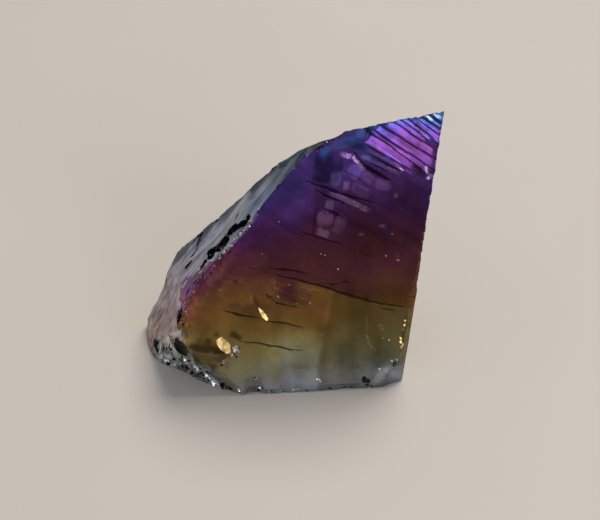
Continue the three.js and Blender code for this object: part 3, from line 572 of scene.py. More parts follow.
def towards(across, up, outwards):
    """A direction given on the broad face, in the part's frame."""
    return unit(STAND @ (across, -outwards, up))


def on_face(points):
    """Points of the part's frame as columns: across, up and behind the broad face."""
    local = (points - FACE_CORNER) @ STAND
    return local[:, (0, 2, 1)]


def in_mm(metres):
    """A length kept in metres, in whole thousandths of a millimetre."""
    return round(metres / MM, 3)


def hashed(cells, seed):
    """A fixed number from -1 to 1 for each whole-number cell."""
    mixed = cells[:, 0] * 73856093 ^ cells[:, 1] * 19349663 ^ cells[:, 2] * 83492791
    mixed = (mixed ^ (seed * 668265263)) & 0xFFFFFFFF
    mixed = (mixed ^ (mixed >> 15)) * 0x2C1B3C6D & 0xFFFFFFFF
    mixed = (mixed ^ (mixed >> 12)) * 0x297A2D39 & 0xFFFFFFFF
    return ((mixed ^ (mixed >> 15)) & 0xFFFFFF) / 0x7FFFFF - 1.0


def lumps(points, size, seed):
    """Smooth noise from -1 to 1 at points. Size is its lumps', as one length or one an axis."""
    places = np.asarray(points, float) / np.asarray(size, float) + 31.7
    cells = np.floor(places).astype(np.int64)
    part = places - cells
    ease = part**3 * (part * (part * 6 - 15) + 10)
    total = np.zeros(len(places))
    for corner in np.ndindex(2, 2, 2):
        weight = np.prod(np.where(corner, ease, 1 - ease), axis=1)
        total += weight * hashed(cells + corner, seed)
    return total


def smoothstep(low, high, value):
    """Eases from 0 at low to 1 at high, whichever of them is the greater."""
    share = np.clip((value - low) / (high - low), 0, 1)
    return share * share * (3 - 2 * share)


# ---------------------------------------------------------------- relief of the broad face


def along_path(places, path):
    """For places on the face: distance from a path (left of it positive) and share along it."""
    path = np.asarray(path, float)
    steps = np.diff(path, axis=0)
    lengths = np.linalg.norm(steps, axis=1)
    before = np.concatenate(((0,), np.cumsum(lengths)))
    best = np.full(len(places), np.inf)
    off = np.zeros(len(places))
    share = np.zeros(len(places))
    for start, step, length, passed in zip(path, steps, lengths, before):
        offset = places - start
        t = np.clip(offset @ step / length**2, 0, 1)
        gap = offset - t[:, None] * step
        far = np.linalg.norm(gap, axis=1)
        side = np.sign(step[0] * offset[:, 1] - step[1] * offset[:, 0])
        nearer = far < best
        best = np.where(nearer, far, best)
        off = np.where(nearer, far * side, off)
        share = np.where(nearer, (passed + t * length) / before[-1], share)
    return off, share


def crack_relief(places, flat, open_part):
    """Depth of the cracks, and how far into one each place is, 0 to 1."""
    depth = np.zeros(len(places))
    inside = np.zeros(len(places))
    for number, (wide, deep, path) in enumerate(CRACKS):
        off, share = along_path(places, path)
        off = off + CRACK_WANDER * lumps(flat, 0.9, 40 + number)
        size = CRACK_TIP + (1 - CRACK_TIP) * np.sin(math.pi * share)
        size = size * (1 + CRACK_UNEVEN * lumps(flat, 0.6, 70 + number))
        fall = np.clip(1 - np.abs(off) / (size * wide * 0.5), 0, 1)
        depth = np.maximum(depth, open_part * fall * size * deep)
        dark = np.clip(1 - np.abs(off) / (size * wide * CRACK_SHADE_SPREAD), 0, 1)
        inside = np.maximum(inside, smoothstep(0.0, 0.7, dark))
    return depth, inside


def ledge_relief(places, flat):
    """Depth of the tip's ledges, and how near each place is to a ledge's deep line."""
    depth = np.zeros(len(places))
    deep_line = np.zeros(len(places))
    for number, (start, end, tread, deep, dark) in enumerate(LEDGES):
        start, step = np.array(start), np.subtract(end, start)
        length = np.linalg.norm(step)
        way = step / length
        tipward = np.array((-way[1], way[0]))
        offset = places - start
        share = offset @ way / length
        off = offset @ tipward + LEDGE_WANDER * lumps(flat, 1.1, 10 + number)
        # a ledge starts abruptly and fades out at its end
        ends = smoothstep(-0.06, 0.02, share) * smoothstep(1.06, 0.8, share)
        width = tread[0] + (tread[1] - tread[0]) * np.clip(share, 0, 1)
        level = deep[0] + (deep[1] - deep[0]) * np.clip(share, 0, 1)
        fall = np.where(off <= 0, 1 + off / width, 1 - off / RISER)
        depth = np.maximum(depth, np.clip(fall, 0, 1) * level * ends)
        dark = dark * (1 + 0.5 * lumps(flat, 0.8, 60 + number))
        line = smoothstep(1.3, 0.2, np.abs(off - RISER * 0.4) / dark) * ends
        deep_line = np.maximum(deep_line, line)
    return depth, deep_line


def turned(places, centre, degrees):
    """Places about a centre, along and across a direction."""
    way = np.array((math.cos(math.radians(degrees)), math.sin(math.radians(degrees))))
    offset = places - np.array(centre)
    return offset @ way, offset @ np.array((-way[1], way[0]))


def within(places, centre, half_long, half_wide, degrees):
    """How far inside a turned rectangle each place is, negative outside it."""
    x, y = turned(places, centre, degrees)
    return np.minimum(half_long - np.abs(x), half_wide - np.abs(y))


def flake_relief(places, flat):
    """Depth of the flat flakes lifted off the face."""
    depth = np.zeros(len(places))
    for number, (centre, half_long, half_wide, degrees, slope) in enumerate(FLAKES):
        edge = within(places, centre, half_long, half_wide, degrees)
        edge += 0.5 * half_wide * lumps(flat, 0.4, 90 + number)
        turn = math.radians(degrees)
        along = slope[0] * math.cos(turn) + slope[1] * math.sin(turn)
        over = slope[1] * math.cos(turn) - slope[0] * math.sin(turn)
        reach = abs(along) * half_long + abs(over) * half_wide
        level = (places - np.array(centre)) @ slope + 0.6 * reach
        depth = np.maximum(depth, smoothstep(0, 0.11, edge) * np.maximum(level, 0))
    return depth


def face_relief(places, sizes):
    """Depth of the broad face's relief and its painted shade, at places (across, up) on it: cracks,
    ledges and flakes, on slow swells, flow lines by the foot and grain by the tip. The shade darkens
    the cracks, where the film is also bare, and the ledges' deep lines."""
    flat = np.column_stack((places, np.zeros(len(places))))
    cracks, inside = crack_relief(places, flat, sizes.crack_open)
    ledges, deep_line = ledge_relief(places, flat)
    ledges *= sizes.ledge_depth
    up = places[:, 1]
    swell = in_mm(sizes.swell) * lumps(flat, 6.0, 1) + FINE_SWELL * lumps(flat, 1.8, 2)
    flow = FLOW * lumps(flat, (0.7, 6.0, 1), 3) * smoothstep(10, 5, up)
    grain = GRAIN * lumps(flat, 0.5, 4) * smoothstep(15.5, 18, up)
    depth = np.maximum(np.maximum(cracks, ledges), flake_relief(places, flat))
    faint = 0.7 + 0.3 * lumps(flat, 1.2, 13)
    # painted shade in the cracks and along the ledges' deep lines
    bare = np.maximum(CRACK_BARE_AND_SHADE * inside, LEDGE_LINE_SHADE * faint * deep_line)
    return depth + swell + flow + grain, bare


def guides_along(start, end, lanes):
    """Places in rows beside a line on the face, at the given distances from it."""
    start, step = np.array(start, float), np.subtract(end, start)
    length = np.linalg.norm(step)
    across = np.array((-step[1], step[0])) / length
    shares = np.linspace(0, 1, max(2, round(length / GUIDE_STEP) + 1))
    return [start + share * step + lane * across for share in shares for lane in lanes]


def guide_points():
    """Places laid along the cracks and ledges, so that the mesh follows them."""
    rows = []
    for wide, _, path in CRACKS:
        for start, end in zip(path, path[1:]):
            rows += guides_along(start, end, [wide * lane for lane in CRACK_LANES])
    for start, end, *_ in LEDGES:
        rows += guides_along(start, end, LEDGE_LANES)
    return np.array(rows)


# ---------------------------------------------------------------- the blank


def blank_facets():
    """The blank's corners and its flat facets, each as its corners in order, its outward direction
    and the side of the stone it is on."""
    shape = bmesh.new()
    for across, up in FACE_RIM:
        shape.verts.new(at(across, up))
    for across, up, behind in BACK_RIM:
        shape.verts.new(at(across, up, behind))
    for right, back in FOOT:
        shape.verts.new(FACE_CORNER + (right, back, 0))
    bmesh.ops.convex_hull(shape, input=shape.verts)
    loose = [vert for vert in shape.verts if not vert.link_faces]
    bmesh.ops.delete(shape, geom=loose, context="VERTS")
    for points in FLATS:
        first, second, third = (Vector(at(*point)) for point in points)
        normal = (second - first).cross(third - first).normalized()
        if normal.dot(Vector(FACE_CORNER + HEART) - first) > 0:
            normal.negate()
        everything = shape.verts[:] + shape.edges[:] + shape.faces[:]
        bmesh.ops.bisect_plane(
            shape, geom=everything, dist=ON_PLANE, plane_co=first, plane_no=normal,
            clear_outer=True,
        )  # fmt: skip
        rim = [edge for edge in shape.edges if edge.is_boundary]
        bmesh.ops.holes_fill(shape, edges=rim)
    bmesh.ops.recalc_face_normals(shape, faces=shape.faces)
    bmesh.ops.dissolve_limit(
        shape, angle_limit=SAME_PLANE, verts=shape.verts, edges=shape.edges
    )
    shape.verts.index_update()
    corners = np.array([vert.co for vert in shape.verts])
    facets = []
    for face in shape.faces:
        loop, normal = [vert.index for vert in face.verts], np.array(face.normal)
        facets.append((loop, normal, side_of(loop, normal, corners)))
    shape.free()
    return corners, facets


def side_of(loop, normal, corners):
    """Which side of the stone a facet is on. The band's facets have every corner on a rim."""
    rims = np.array([at(*place) for place in FACE_RIM + BACK_RIM])
    gaps = np.linalg.norm(corners[loop][:, None] - rims[None], axis=2).min(axis=1)
    if normal[2] < -ALIGNED:
        return "foot"
    if normal @ FACE_OUT > ALIGNED:
        return "face"
    if normal[0] > 0.6:
        return "bevel" if normal @ FACE_OUT > 0.25 else "right"
    if gaps.max() < SAME_POINT:
        return "band"
    if normal[1] < 0 and normal[0] < 0.3:
        return "corner"
    return "back"


def hex_net(low, high, spacing):
    """Points of a hexagonal net that fills a rectangle."""
    rows = np.arange(low[1], high[1], spacing * HEX_ROW)
    columns = np.arange(low[0], high[0], spacing)
    return np.array([(x + spacing * 0.5 * (i % 2), y) for i, y in enumerate(rows) for x in columns])


def face_net(sizes):
    """The broad face's finer points, by its cracks, ledges and flakes."""
    guides = guide_points()
    fine = in_mm(sizes.fine_net)
    grid = hex_net(guides.min(axis=0) - 0.5, guides.max(axis=0) + 0.5, fine)
    by_features = near_features(grid) < FINE_REACH
    grid = grid[by_features & (nearest(grid, guides) > fine * GUIDE_GAP)]
    return np.concatenate((thin_out(guides, fine * NET_GAP), grid))


def dense_facet(outline, spacing, finer=None):
    """Fills a convex outline (2-D points) with a hexagonal net, which gives way to the face's
    finer points where there are some. Returns the net and the triangles."""
    net = hex_net(outline.min(axis=0), outline.max(axis=0), spacing)
    if finer is not None:
        net = np.concatenate((finer, net[near_features(net) >= FINE_REACH]))
    after = np.roll(outline, -1, axis=0)
    step = after - outline
    length = np.linalg.norm(step, axis=1)
    used = length > 1e-9
    inward = np.column_stack((-step[:, 1], step[:, 0]))[used] / length[used, None]
    gaps = ((net[:, None] - outline[used][None]) * inward[None]).sum(axis=2)
    net = net[gaps.min(axis=1) > spacing * NET_GAP]
    points = [Vector(point) for point in np.concatenate((outline, net))]
    count = len(outline)
    rim = [(i, (i + 1) % count) for i in range(count)]
    made = delaunay_2d_cdt(points, rim, [], 1, 1e-7)
    source = [ids[0] for ids in made[3]]
    triangles = [[source[corner] for corner in face] for face in made[2]]
    return net, triangles


class Skin:
    """The dense surface of the blank: points, triangles and the side each triangle is on."""

    def __init__(self, sizes):
        self.corners, self.facets = blank_facets()
        self.points = list(self.corners)
        self.triangles = []
        self.sides = []
        self.edges = {}
        side_net, back_net = in_mm(sizes.side_net), in_mm(sizes.back_net)
        spacing = {"face": in_mm(sizes.face_net), "band": side_net, "corner": side_net,
                   "bevel": side_net, "right": back_net, "back": back_net,
                   "foot": back_net * 2}  # fmt: skip
        steps = {}
        for loop, _, side in self.facets:
            for pair in zip(loop, loop[1:] + loop[:1]):
                key = tuple(sorted(pair))
                steps[key] = min(steps.get(key, math.inf), spacing[side] * EDGE_STEP)
        for key, step in steps.items():
            self.divide(key, step)
        for loop, normal, side in self.facets:
            self.fill(loop, normal, side, spacing[side], sizes)
        self.points = np.array(self.points)
        self.triangles = np.array(self.triangles)
        self.sides = np.array(self.sides)

    def divide(self, key, step):
        """Lays points along one edge of the blank, shared by the facets on both sides of it."""
        start, end = self.corners[key[0]], self.corners[key[1]]
        count = max(1, round(np.linalg.norm(end - start) / step))
        inner = [start + (end - start) * i / count for i in range(1, count)]
        first = len(self.points)
        self.points.extend(inner)
        self.edges[key] = [key[0], *range(first, first + count - 1), key[1]]

    def fill(self, loop, normal, side, spacing, sizes):
        """Fills one facet with triangles."""
        ring = []
        for a, b in zip(loop, loop[1:] + loop[:1]):
            run = self.edges[tuple(sorted((a, b)))]
            ring.extend((run if run[0] == a else run[::-1])[:-1])
        if side == "face":
            basis = np.column_stack((STAND[:, 0], STAND[:, 2]))
            origin = FACE_CORNER
            finer = face_net(sizes)
        else:
            x = unit(np.cross(normal, (0.31, 0.52, 0.79)))  # a way that no facet faces
            basis = np.column_stack((x, np.cross(normal, x)))
            origin = self.points[ring[0]]
            finer = None
        outline = (np.array([self.points[i] for i in ring]) - origin) @ basis
        net, triangles = dense_facet(outline, spacing, finer)
        first = len(self.points)
        self.points.extend(origin + net @ basis.T)
        index = np.concatenate((ring, np.arange(first, first + len(net))))
        for triangle in triangles:
            self.triangles.append(index[triangle])
            self.sides.append(side)


def near_features(places):
    """Distance from each place on the face to the nearest crack, ledge or flake's rim."""
    gap = np.full(len(places), np.inf)
    for wide, _, path in CRACKS:
        off, _ = along_path(places, path)
        gap = np.minimum(gap, np.abs(off) - wide / 2)
    for start, end, tread, _, _ in LEDGES:
        off, _ = along_path(places, (start, end))
        gap = np.minimum(gap, np.abs(off + max(tread) / 2) - max(tread) / 2)
    for *outline, _ in FLAKES:
        gap = np.minimum(gap, np.abs(within(places, *outline)) + 0.1)
    return gap


def nearest(places, others):
    """Distance from each place to the nearest of some others, up to the size of the buckets that
    they are sorted into."""
    size = BUCKET
    buckets = {}
    for point in others:
        buckets.setdefault((int(point[0] // size), int(point[1] // size)), []).append(point)
    gaps = np.full(len(places), size)
    for i, (x, y) in enumerate(places):
        column, row = int(x // size), int(y // size)
        for a in (column - 1, column, column + 1):
            for b in (row - 1, row, row + 1):
                for point in buckets.get((a, b), ()):
                    gaps[i] = min(gaps[i], math.hypot(x - point[0], y - point[1]))
    return gaps


def thin_out(points, gap):
    """Points with none closer than gap to one kept before it."""
    kept = []
    taken = {}
    for point in points:
        cell = (int(point[0] // gap), int(point[1] // gap))
        close = (
            other
            for a in (-1, 0, 1)
            for b in (-1, 0, 1)
            for other in taken.get((cell[0] + a, cell[1] + b), ())
        )
        if all(math.hypot(*(point - other)) > gap for other in close):
            kept.append(point)
            taken.setdefault(cell, []).append(point)
    return np.array(kept)


def normals_of(points, triangles, count):
    """The mean outward direction at each point of some triangles, zero where there are none."""
    a, b, c = (points[triangles[:, i]] for i in range(3))
    flat = np.cross(b - a, c - a)
    total = np.zeros((count, 3))
    for i in range(3):
        np.add.at(total, triangles[:, i], flat)
    size = np.linalg.norm(total, axis=1, keepdims=True)
    return np.divide(total, size, out=np.zeros_like(total), where=size > 1e-12)


def rounded(points, triangles, inner, rounds):
    """Points eased towards their neighbours, where inner is true."""
    pairs = np.concatenate([triangles[:, (i, (i + 1) % 3)] for i in range(3)])
    for _ in range(rounds):
        total = np.zeros_like(points)
        count = np.zeros(len(points))
        np.add.at(total, pairs[:, 0], points[pairs[:, 1]])
        np.add.at(count, pairs[:, 0], 1)
        mean = total / np.maximum(count, 1)[:, None]
        points = np.where(inner[:, None], (1 - EASING) * points + EASING * mean, points)
    return points


def weathered(skin, sizes):
    """The blank's points with their fine relief."""
    points = skin.points
    count = len(points)
    names = sorted(set(skin.sides))
    member = {name: np.zeros(count, bool) for name in names}
    for name in names:
        member[name][skin.triangles[skin.sides == name].ravel()] = True
    shared = sum(member[name].astype(int) for name in names) > 1
    for name, rounds in EASINGS:
        inner = member[name] & ~shared
        points = rounded(points, skin.triangles[skin.sides == name], inner, rounds)
    moved = points.copy()
    places = on_face(points)
    for name in names:
        outward = normals_of(points, skin.triangles[skin.sides == name], count)
        if name == "face":
            depth, _ = face_relief(places[:, :2], sizes)
        elif name == "foot":
            depth = np.zeros(count)
        elif name == "band":
            streaks = lumps(places @ BAND_AXES, (3.2, 0.35, 0.35), 5)
            depth = in_mm(sizes.band_swell) * lumps(points, 2.6, 6)
            depth += BAND_STREAK * streaks + BAND_GRAIN * lumps(points, 0.5, 7)
        elif name == "bevel":
            depth = BEVEL_SWELL * lumps(points, 0.8, 8)
        else:
            depth = in_mm(sizes.back_swell) * lumps(points, 3.5, 9)
            depth += BACK_GRAIN * lumps(points, 0.9, 10)
        moved -= outward * (depth * member[name])[:, None]
        nicks = lumps(points, 0.55, 11) + 0.25 * lumps(points, 0.2, 12)
        worn = in_mm(sizes.wear) * np.clip(nicks, 0, 1)
        moved -= outward * (worn * shared * member[name])[:, None]
    moved[member["foot"], 2] = 0
    moved[:, 2] = np.maximum(moved[:, 2], 0)
    return moved


# ---------------------------------------------------------------- striking bites off

# The finishes, in the order of the mesh's materials.
FINISHES = ("skin", "pearl", "glass", "silver", "gold", "frost", "slate", "dusk")


def new_mesh(name, points, faces, materials):
    """A mesh of some points and faces."""
    mesh = bpy.data.meshes.new(name)
    faces = [tuple(map(int, face)) for face in faces]
    mesh.from_pydata([tuple(point) for point in points], [], faces)
    for material in materials:
        mesh.materials.append(material)
    return mesh


def placed(name, data):
    """A new object in the scene."""
    made = bpy.data.objects.new(name, data)
    bpy.context.scene.collection.objects.link(made)
    return made


def cutter_axes(along, facing):
    """A cutter's own axes as rows: its length, its side and its facing."""
    side = unit(np.cross(along, facing))
    return np.array((np.cross(facing, side), side, facing))


def bite(number, spot, facing, along, reach, deep, stretch, ragged, finish, rings=10, sides=40):
    """One cutting dish: a shell-shaped scar with ripples, closed by a cone on its outer side.
    Returns its points, its triangles and the finish that it leaves."""
    radius = (reach**2 + deep**2) / (2 * deep)
    edge = math.asin(min(1, reach / radius))
    shares = [*((ring + 1) / rings for ring in range(rings)), *BITE_SPILL]
    points = [(0, 0, -deep)]
    for ring, share in enumerate(shares):
        angle = edge * share
        out, rise = radius * math.sin(angle), radius - deep - radius * math.cos(angle)
        for k in range(sides):
            turn = math.tau * (k + 0.5 * (ring % 2)) / sides
            points.append((out * math.cos(turn), out * math.sin(turn), rise))
    points.append((0, 0, deep + reach))
    points = np.array(points)
    away = np.hypot(points[:, 0], points[:, 1])
    round_way = points[:, :2] / np.maximum(away, 1e-9)[:, None]
    waver = lumps(np.column_stack((round_way, np.zeros(len(points)))), 0.8, number + 110)
    points[:, :2] *= (1 + ragged * waver)[:, None]
    phase = 3.0 * lumps(points, reach * 0.8, number)
    fading = np.clip(0.5 + lumps(points, reach * 0.9, number + 30), 0, 1)
    ripple = RIPPLE_DEEP * reach * fading * np.sin(away / reach * RIPPLE_TURNS + phase)
    rough = ragged * deep * lumps(points, reach * 0.5, number + 50)
    rough += 0.6 * ragged * deep * lumps(points, reach * 0.22, number + 80)
    shape = np.ones(len(points))
    shape[-1] = 0
    points[:, 2] += shape * (rough + ripple * np.clip(away / reach, 0, 1))
    points[:, 0] *= stretch
    triangles = []
    rows = [[1 + ring * sides + k for k in range(sides)] for ring in range(len(shares))]
    last = len(points) - 1
    for k in range(sides):
        following = (k + 1) % sides
        triangles.append((0, rows[0][following], rows[0][k]))
        triangles.append((last, rows[-1][k], rows[-1][following]))
        for inner, outer in zip(rows, rows[1:]):
            triangles.append((inner[k], inner[following], outer[following]))
            triangles.append((inner[k], outer[following], outer[k]))
    return spot + points @ cutter_axes(along, facing), triangles, finish


def chunk(number, spot, facing, reach, deep, finishes):
    """One angular cutter: a lopsided pyramid of flats pointing into the stone. Returns its points,
    its triangles and the finish that each triangle leaves."""
    draw = random.Random(number)
    first = draw.uniform(0, math.tau)
    points = []
    # the corners stray round, in and out, and up and down, and the peak strays sideways
    for k in range(CHUNK_FLATS):
        turn = first + math.tau * (k + draw.uniform(-0.3, 0.3)) / CHUNK_FLATS
        out = reach * draw.uniform(0.7, 1.25)
        rise = deep * draw.uniform(-0.2, 0.3)
        points.append((CHUNK_LONG * out * math.cos(turn), out * math.sin(turn), rise))
    points.append((reach * draw.uniform(-0.35, 0.35), reach * draw.uniform(-0.35, 0.35), -deep))
    points.append((0, 0, reach + deep))
    triangles, slots = [], []
    for k in range(CHUNK_FLATS):
        following = (k + 1) % CHUNK_FLATS
        triangles += [(CHUNK_FLATS, following, k), (CHUNK_FLATS + 1, k, following)]
        slots += [finishes[(number + k) % len(finishes)]] * 2
    axes = cutter_axes(towards(0.3, 1, 0), facing)
    return spot + np.array(points) @ axes, triangles, slots


def splinter(corners, slope, least, finish):
    """One cutting prism for a splinter: straight walls and a sloping floor with a low peak."""
    corners = np.array(corners, float)
    fall = corners @ slope
    lowest = fall.min() - least
    count = len(corners)
    middle = corners.mean(axis=0)
    floor = [at(*corner, depth) for corner, depth in zip(corners, fall - lowest)]
    lid = [at(*corner, -SPLINTER_LID) for corner in corners]
    floor_middle = at(*middle, middle @ slope - lowest - SPLINTER_PEAK * least)
    points = floor + lid + [floor_middle, at(*middle, -SPLINTER_LID)]
    triangles = []
    for k in range(count):
        following = (k + 1) % count
        triangles.append((2 * count, k, following))
        triangles.append((2 * count + 1, count + following, count + k))
        triangles.append((k, count + k, count + following))
        triangles.append((k, count + following, following))
    return np.array(points), triangles, finish


def volume(points, triangles):
    """The volume inside some triangles, negative where they face inwards."""
    corners = np.array(points)[np.array(triangles)]
    return np.einsum("ij,ij->i", corners[:, 0], np.cross(corners[:, 1], corners[:, 2])).sum() / 6


def small_chips():
    """The small chips along the worn arrises, as rows of the spalls' table."""
    rows = []
    for path, facing, count, (least, most), share, stray, finishes, seed in CHIP_ROWS:
        draw = random.Random(seed)
        path = np.array(path, float)
        lengths = np.linalg.norm(np.diff(path, axis=0), axis=1)
        passed = np.concatenate(((0,), np.cumsum(lengths)))
        for number in range(count):
            place = passed[-1] * (number + draw.uniform(0.1, 0.9)) / count
            spot = [np.interp(place, passed, path[:, axis]) for axis in range(3)]
            spot[0] += draw.uniform(-stray, stray)
            spot[1] += draw.uniform(-stray, stray)
            way = [part + draw.uniform(-CHIP_SWERVE, CHIP_SWERVE) for part in facing]
            reach = draw.uniform(least, most)
            finish = finishes[number % len(finishes)]
            rows.append((spot, way, reach, share * reach, finish))
    return rows


def crumbs():
    """Small splinters in clusters, as rows of the splinters' table."""
    rows = []
    for centre, spread, count, seed in CRUMBLED:
        draw = random.Random(seed)
        for number in range(count):
            middle = [value + draw.gauss(0, 0.5) * spread for value in centre]
            size = draw.uniform(*CRUMB)
            first = draw.uniform(0, math.tau)
            corners = []
            for k in range(4):
                angle = first + math.tau * (k + draw.uniform(-0.25, 0.25)) / 4
                out = size * draw.uniform(0.7, 1.3)
                step = (out * math.cos(angle), out * math.sin(angle))
                corners.append((middle[0] + step[0], middle[1] + step[1]))
            slope = [draw.uniform(0.0, steepest) for steepest in CRUMB_SLOPE]
            rows.append((corners, slope, CRUMB_DEEP, "frost" if number % 5 else "glass"))
    return rows


def laid(surface, spot, facing):
    """A spot moved along its facing onto the stone's surface, where that is near."""
    start = spot + LAID_FROM * facing
    hit, *_ = surface.ray_cast(Vector(start), Vector(-facing), LAID_WITHIN)
    return spot if hit is None else np.array(hit)


def bites(rows, first, ragged, surface=None, **net):
    """A bite for each row of a table, numbered from the first, and laid on the stone's surface
    where that is given."""
    made = []
    for number, (spot, facing, reach, deep, along, stretch, finish) in enumerate(rows, first):
        facing = towards(*facing)
        spot = at(*spot) if surface is None else laid(surface, at(*spot), facing)
        looks = (reach, deep, stretch, ragged, finish)
        made.append(bite(number, spot, facing, towards(*along), *looks, **net))
    return made


def shaping_cuts():
    """The large scars and bites that shape the blank."""
    cuts = []
    for spot, facing, reach, deep in BACK_SCARS:
        looks = (reach, deep, 1, SCAR_RAGGED, "skin")
        place = FACE_CORNER + spot
        cuts.append(bite(len(cuts), place, unit(facing), (0, 0, 1), *looks, rings=26, sides=120))
    return cuts + bites(CHIPS, len(cuts), SCAR_RAGGED)


def breaking_cuts(surface):
    """The flat scales and angular spalls of the broken corner and the arrises, laid on the shaped
    stone."""
    cuts = bites(SCALES, 0, SCALE_RAGGED, surface, rings=6)
    for spot, facing, reach, deep, finish in (*SPALLS, *small_chips()):
        facing = towards(*facing)
        spot = laid(surface, at(*spot), facing)
        finishes = FLAT_FINISHES.get(finish, (finish,))
        cuts.append(chunk(len(cuts) + SPALL_SEED, spot, facing, reach, deep, finishes))
    return cuts


def glinting_cuts(surface):
    """The glints and specks, laid on the broken stone, the pits and the splinters."""
    cuts = []
    facing = towards(*GLINT_WAY)
    for spot, along, reach, stretch, finish in GLINTS:
        spot = laid(surface, at(*spot), facing) - GLINT_SUNK * reach * facing
        looks = (reach, GLINT_HOLLOW * reach, stretch, GLINT_RAGGED, finish)
        cuts.append(bite(len(cuts), spot, facing, towards(*along), *looks, rings=4, sides=16))
    for across, up in SPECKS:
        reach = BIG_SPECK if (across, up) in BIG_SPECKS else SPECK
        spot = laid(surface, at(across, up), facing)
        finishes = ("slate",) if up > SLATE_FROM else ("frost",)
        number = len(cuts) + SPECK_SEED
        cuts.append(chunk(number, spot, facing, reach, SPECK_DEEP * reach, finishes))
    cuts += bites(PITS, len(cuts), PIT_RAGGED)
    return cuts + [splinter(*row) for row in (*SPLINTERS, *crumbs())]


def in_rounds(cuts):
    """The cuts in rounds, in order, so that no two cuts of one round touch."""
    rounds = []
    last = []
    for cut in cuts:
        low, high = cut[0].min(axis=0) - CUT_GAP, cut[0].max(axis=0) + CUT_GAP
        first = 0
        for number, boxes in enumerate(last):
            if any((low < box[1]).all() and (box[0] < high).all() for box in boxes):
                first = number + 1
        if first == len(rounds):
            rounds.append([])
            last.append([])
        rounds[first].append(cut)
        last[first].append((low, high))
    return rounds


def cutter_object(number, cuts, materials):
    """One round of cuts, joined as one cutter."""
    points, triangles, slots = [], [], []
    for place, faces, finish in cuts:
        faces = np.array(faces)
        if volume(place, faces) < 0:
            faces = faces[:, ::-1]
        triangles.extend(faces + len(points))
        points.extend(place)
        names = [finish] * len(faces) if isinstance(finish, str) else finish
        slots.extend(FINISHES.index(name) for name in names)
    name = f"cutter_{number}"
    mesh = new_mesh(name, points, triangles, materials)
    mesh.polygons.foreach_set("material_index", np.array(slots, np.int32))
    return placed(name, mesh)


def surface_of(mesh):
    """A mesh's surface, to lay cuts on."""
    faces = [tuple(face.vertices) for face in mesh.polygons]
    return BVHTree.FromPolygons([tuple(vert.co) for vert in mesh.vertices], faces)


def struck(mesh, cuts, materials):
    """A mesh with some cuts taken off."""
    stone = placed("stone", mesh)
    rounds = in_rounds(cuts)
    cutters = [cutter_object(number, some, materials) for number, some in enumerate(rounds)]
    for cutter in cutters:
        cut = stone.modifiers.new(cutter.name, "BOOLEAN")
        cut.operation = "DIFFERENCE"
        cut.solver = "MANIFOLD"
        cut.object = cutter
        cut.material_mode = "TRANSFER"
    bpy.context.view_layer.update()
    graph = bpy.context.evaluated_depsgraph_get()
    mesh = bpy.data.meshes.new_from_object(stone.evaluated_get(graph))
    for thing in (*cutters, stone):
        old = thing.data
        bpy.data.objects.remove(thing)
        bpy.data.meshes.remove(old)
    return mesh


# ---------------------------------------------------------------- finishes


def linear(colour):
    """A colour written as sRGB hex, as linear red, green, blue and alpha."""
    parts = [int(colour[i : i + 2], 16) / 255 for i in (1, 3, 5)]
    return (*(c / 12.92 if c <= 0.04045 else ((c + 0.055) / 1.055) ** 2.4 for c in parts), 1.0)


def node(tree, kind, values=None, links=None, output=None, **settings):
    """Adds a node with its settings, its sockets' values and the links into it. Returns the output
    that is named, or else the first in use."""
    made = tree.nodes.new("ShaderNode" + kind)
    for name, value in settings.items():
        setattr(made, name, value)
    for socket, value in (values or {}).items():
        made.inputs[socket].default_value = value
    for socket, source in (links or {}).items():
        tree.links.new(source, made.inputs[socket])
    if output:
        return made.outputs[output]
    return next((socket for socket in made.outputs if socket.enabled), None)


def stops(ramp, colours):
    """Sets the stops of a colour ramp, given by its output, from (place, linear colour) pairs."""
    elements = ramp.node.color_ramp.elements
    while len(elements) < len(colours):
        elements.new(0.5)
    for element, (place, colour) in zip(elements, colours):
        element.position = place
        element.color = colour


def new_material(name, *marks):
    """An empty material: itself, its node tree, the object's own coordinates in that and the
    attributes that it reads."""
    material = bpy.data.materials.new(name)
    material.use_nodes = True
    tree = material.node_tree
    tree.nodes.clear()
    read = (node(tree, "Attribute", output="Fac", attribute_name=mark) for mark in marks)
    return material, tree, node(tree, "TexCoord", output="Object"), *read


MULTIPLY = {"data_type": "RGBA", "blend_type": "MULTIPLY"}  # for a mix of two colours

# Where each colour of the growing oxide film sits, by height up the broad face in mm.
FILM = {
    "corner_blue": 0.0, "foot_grey": 0.8, "ash": 1.9, "olive_grey": 2.8, "olive": 4.2,
    "straw": 6.3, "bronze": 7.8, "brown": 9.1, "russet": 10.3, "maroon": 11.8, "plum": 13.5,
    "purple": 15.2, "violet": 16.6, "indigo": 18.0, "blue": 19.5, "azure": 21.5, "cyan": 24.0,
}  # fmt: skip
FILM_TOP = FILM["cyan"]
# The film's growth follows the height up the face, and above the shoulder this part of it.
SHOULDER, SHOULDER_GROWTH = 16, 0.34
RIDGE_FILM, CREST_FILM = 15.3, 4.5  # film on the ridged tip, and what its crest adds
TIP_FILM = 3.2  # what the very tip adds
BEVEL_FILM = 1.8  # what the chipped bevel adds low down, and takes off above
# Where each colour of the band's thin film sits, by share of the way up.
PEARL = (
    (0.15, "pearl_foot"), (0.3, "pearl_pink"), (0.42, "pearl_violet"), (0.55, "pearl_blue"),
    (0.72, "pearl_blue"), (0.86, "pearl_top"),
)  # fmt: skip
# Colours that the skin is paled towards, by share of the film's growth: dust where it is ground at a
# break's rim, and painted highlights on the hook, the tip and the corner's edge.
DUST_AND_HIGHLIGHT = ((0.25, "#a5a18c"), (0.45, "#b49aa4"), (0.7, "#b3a3c4"), (0.9, "#cfe2f8"))


def left_of(face, path):
    """How far left of a path each place on the face is, negative to its right."""
    return along_path(face, path)[0]


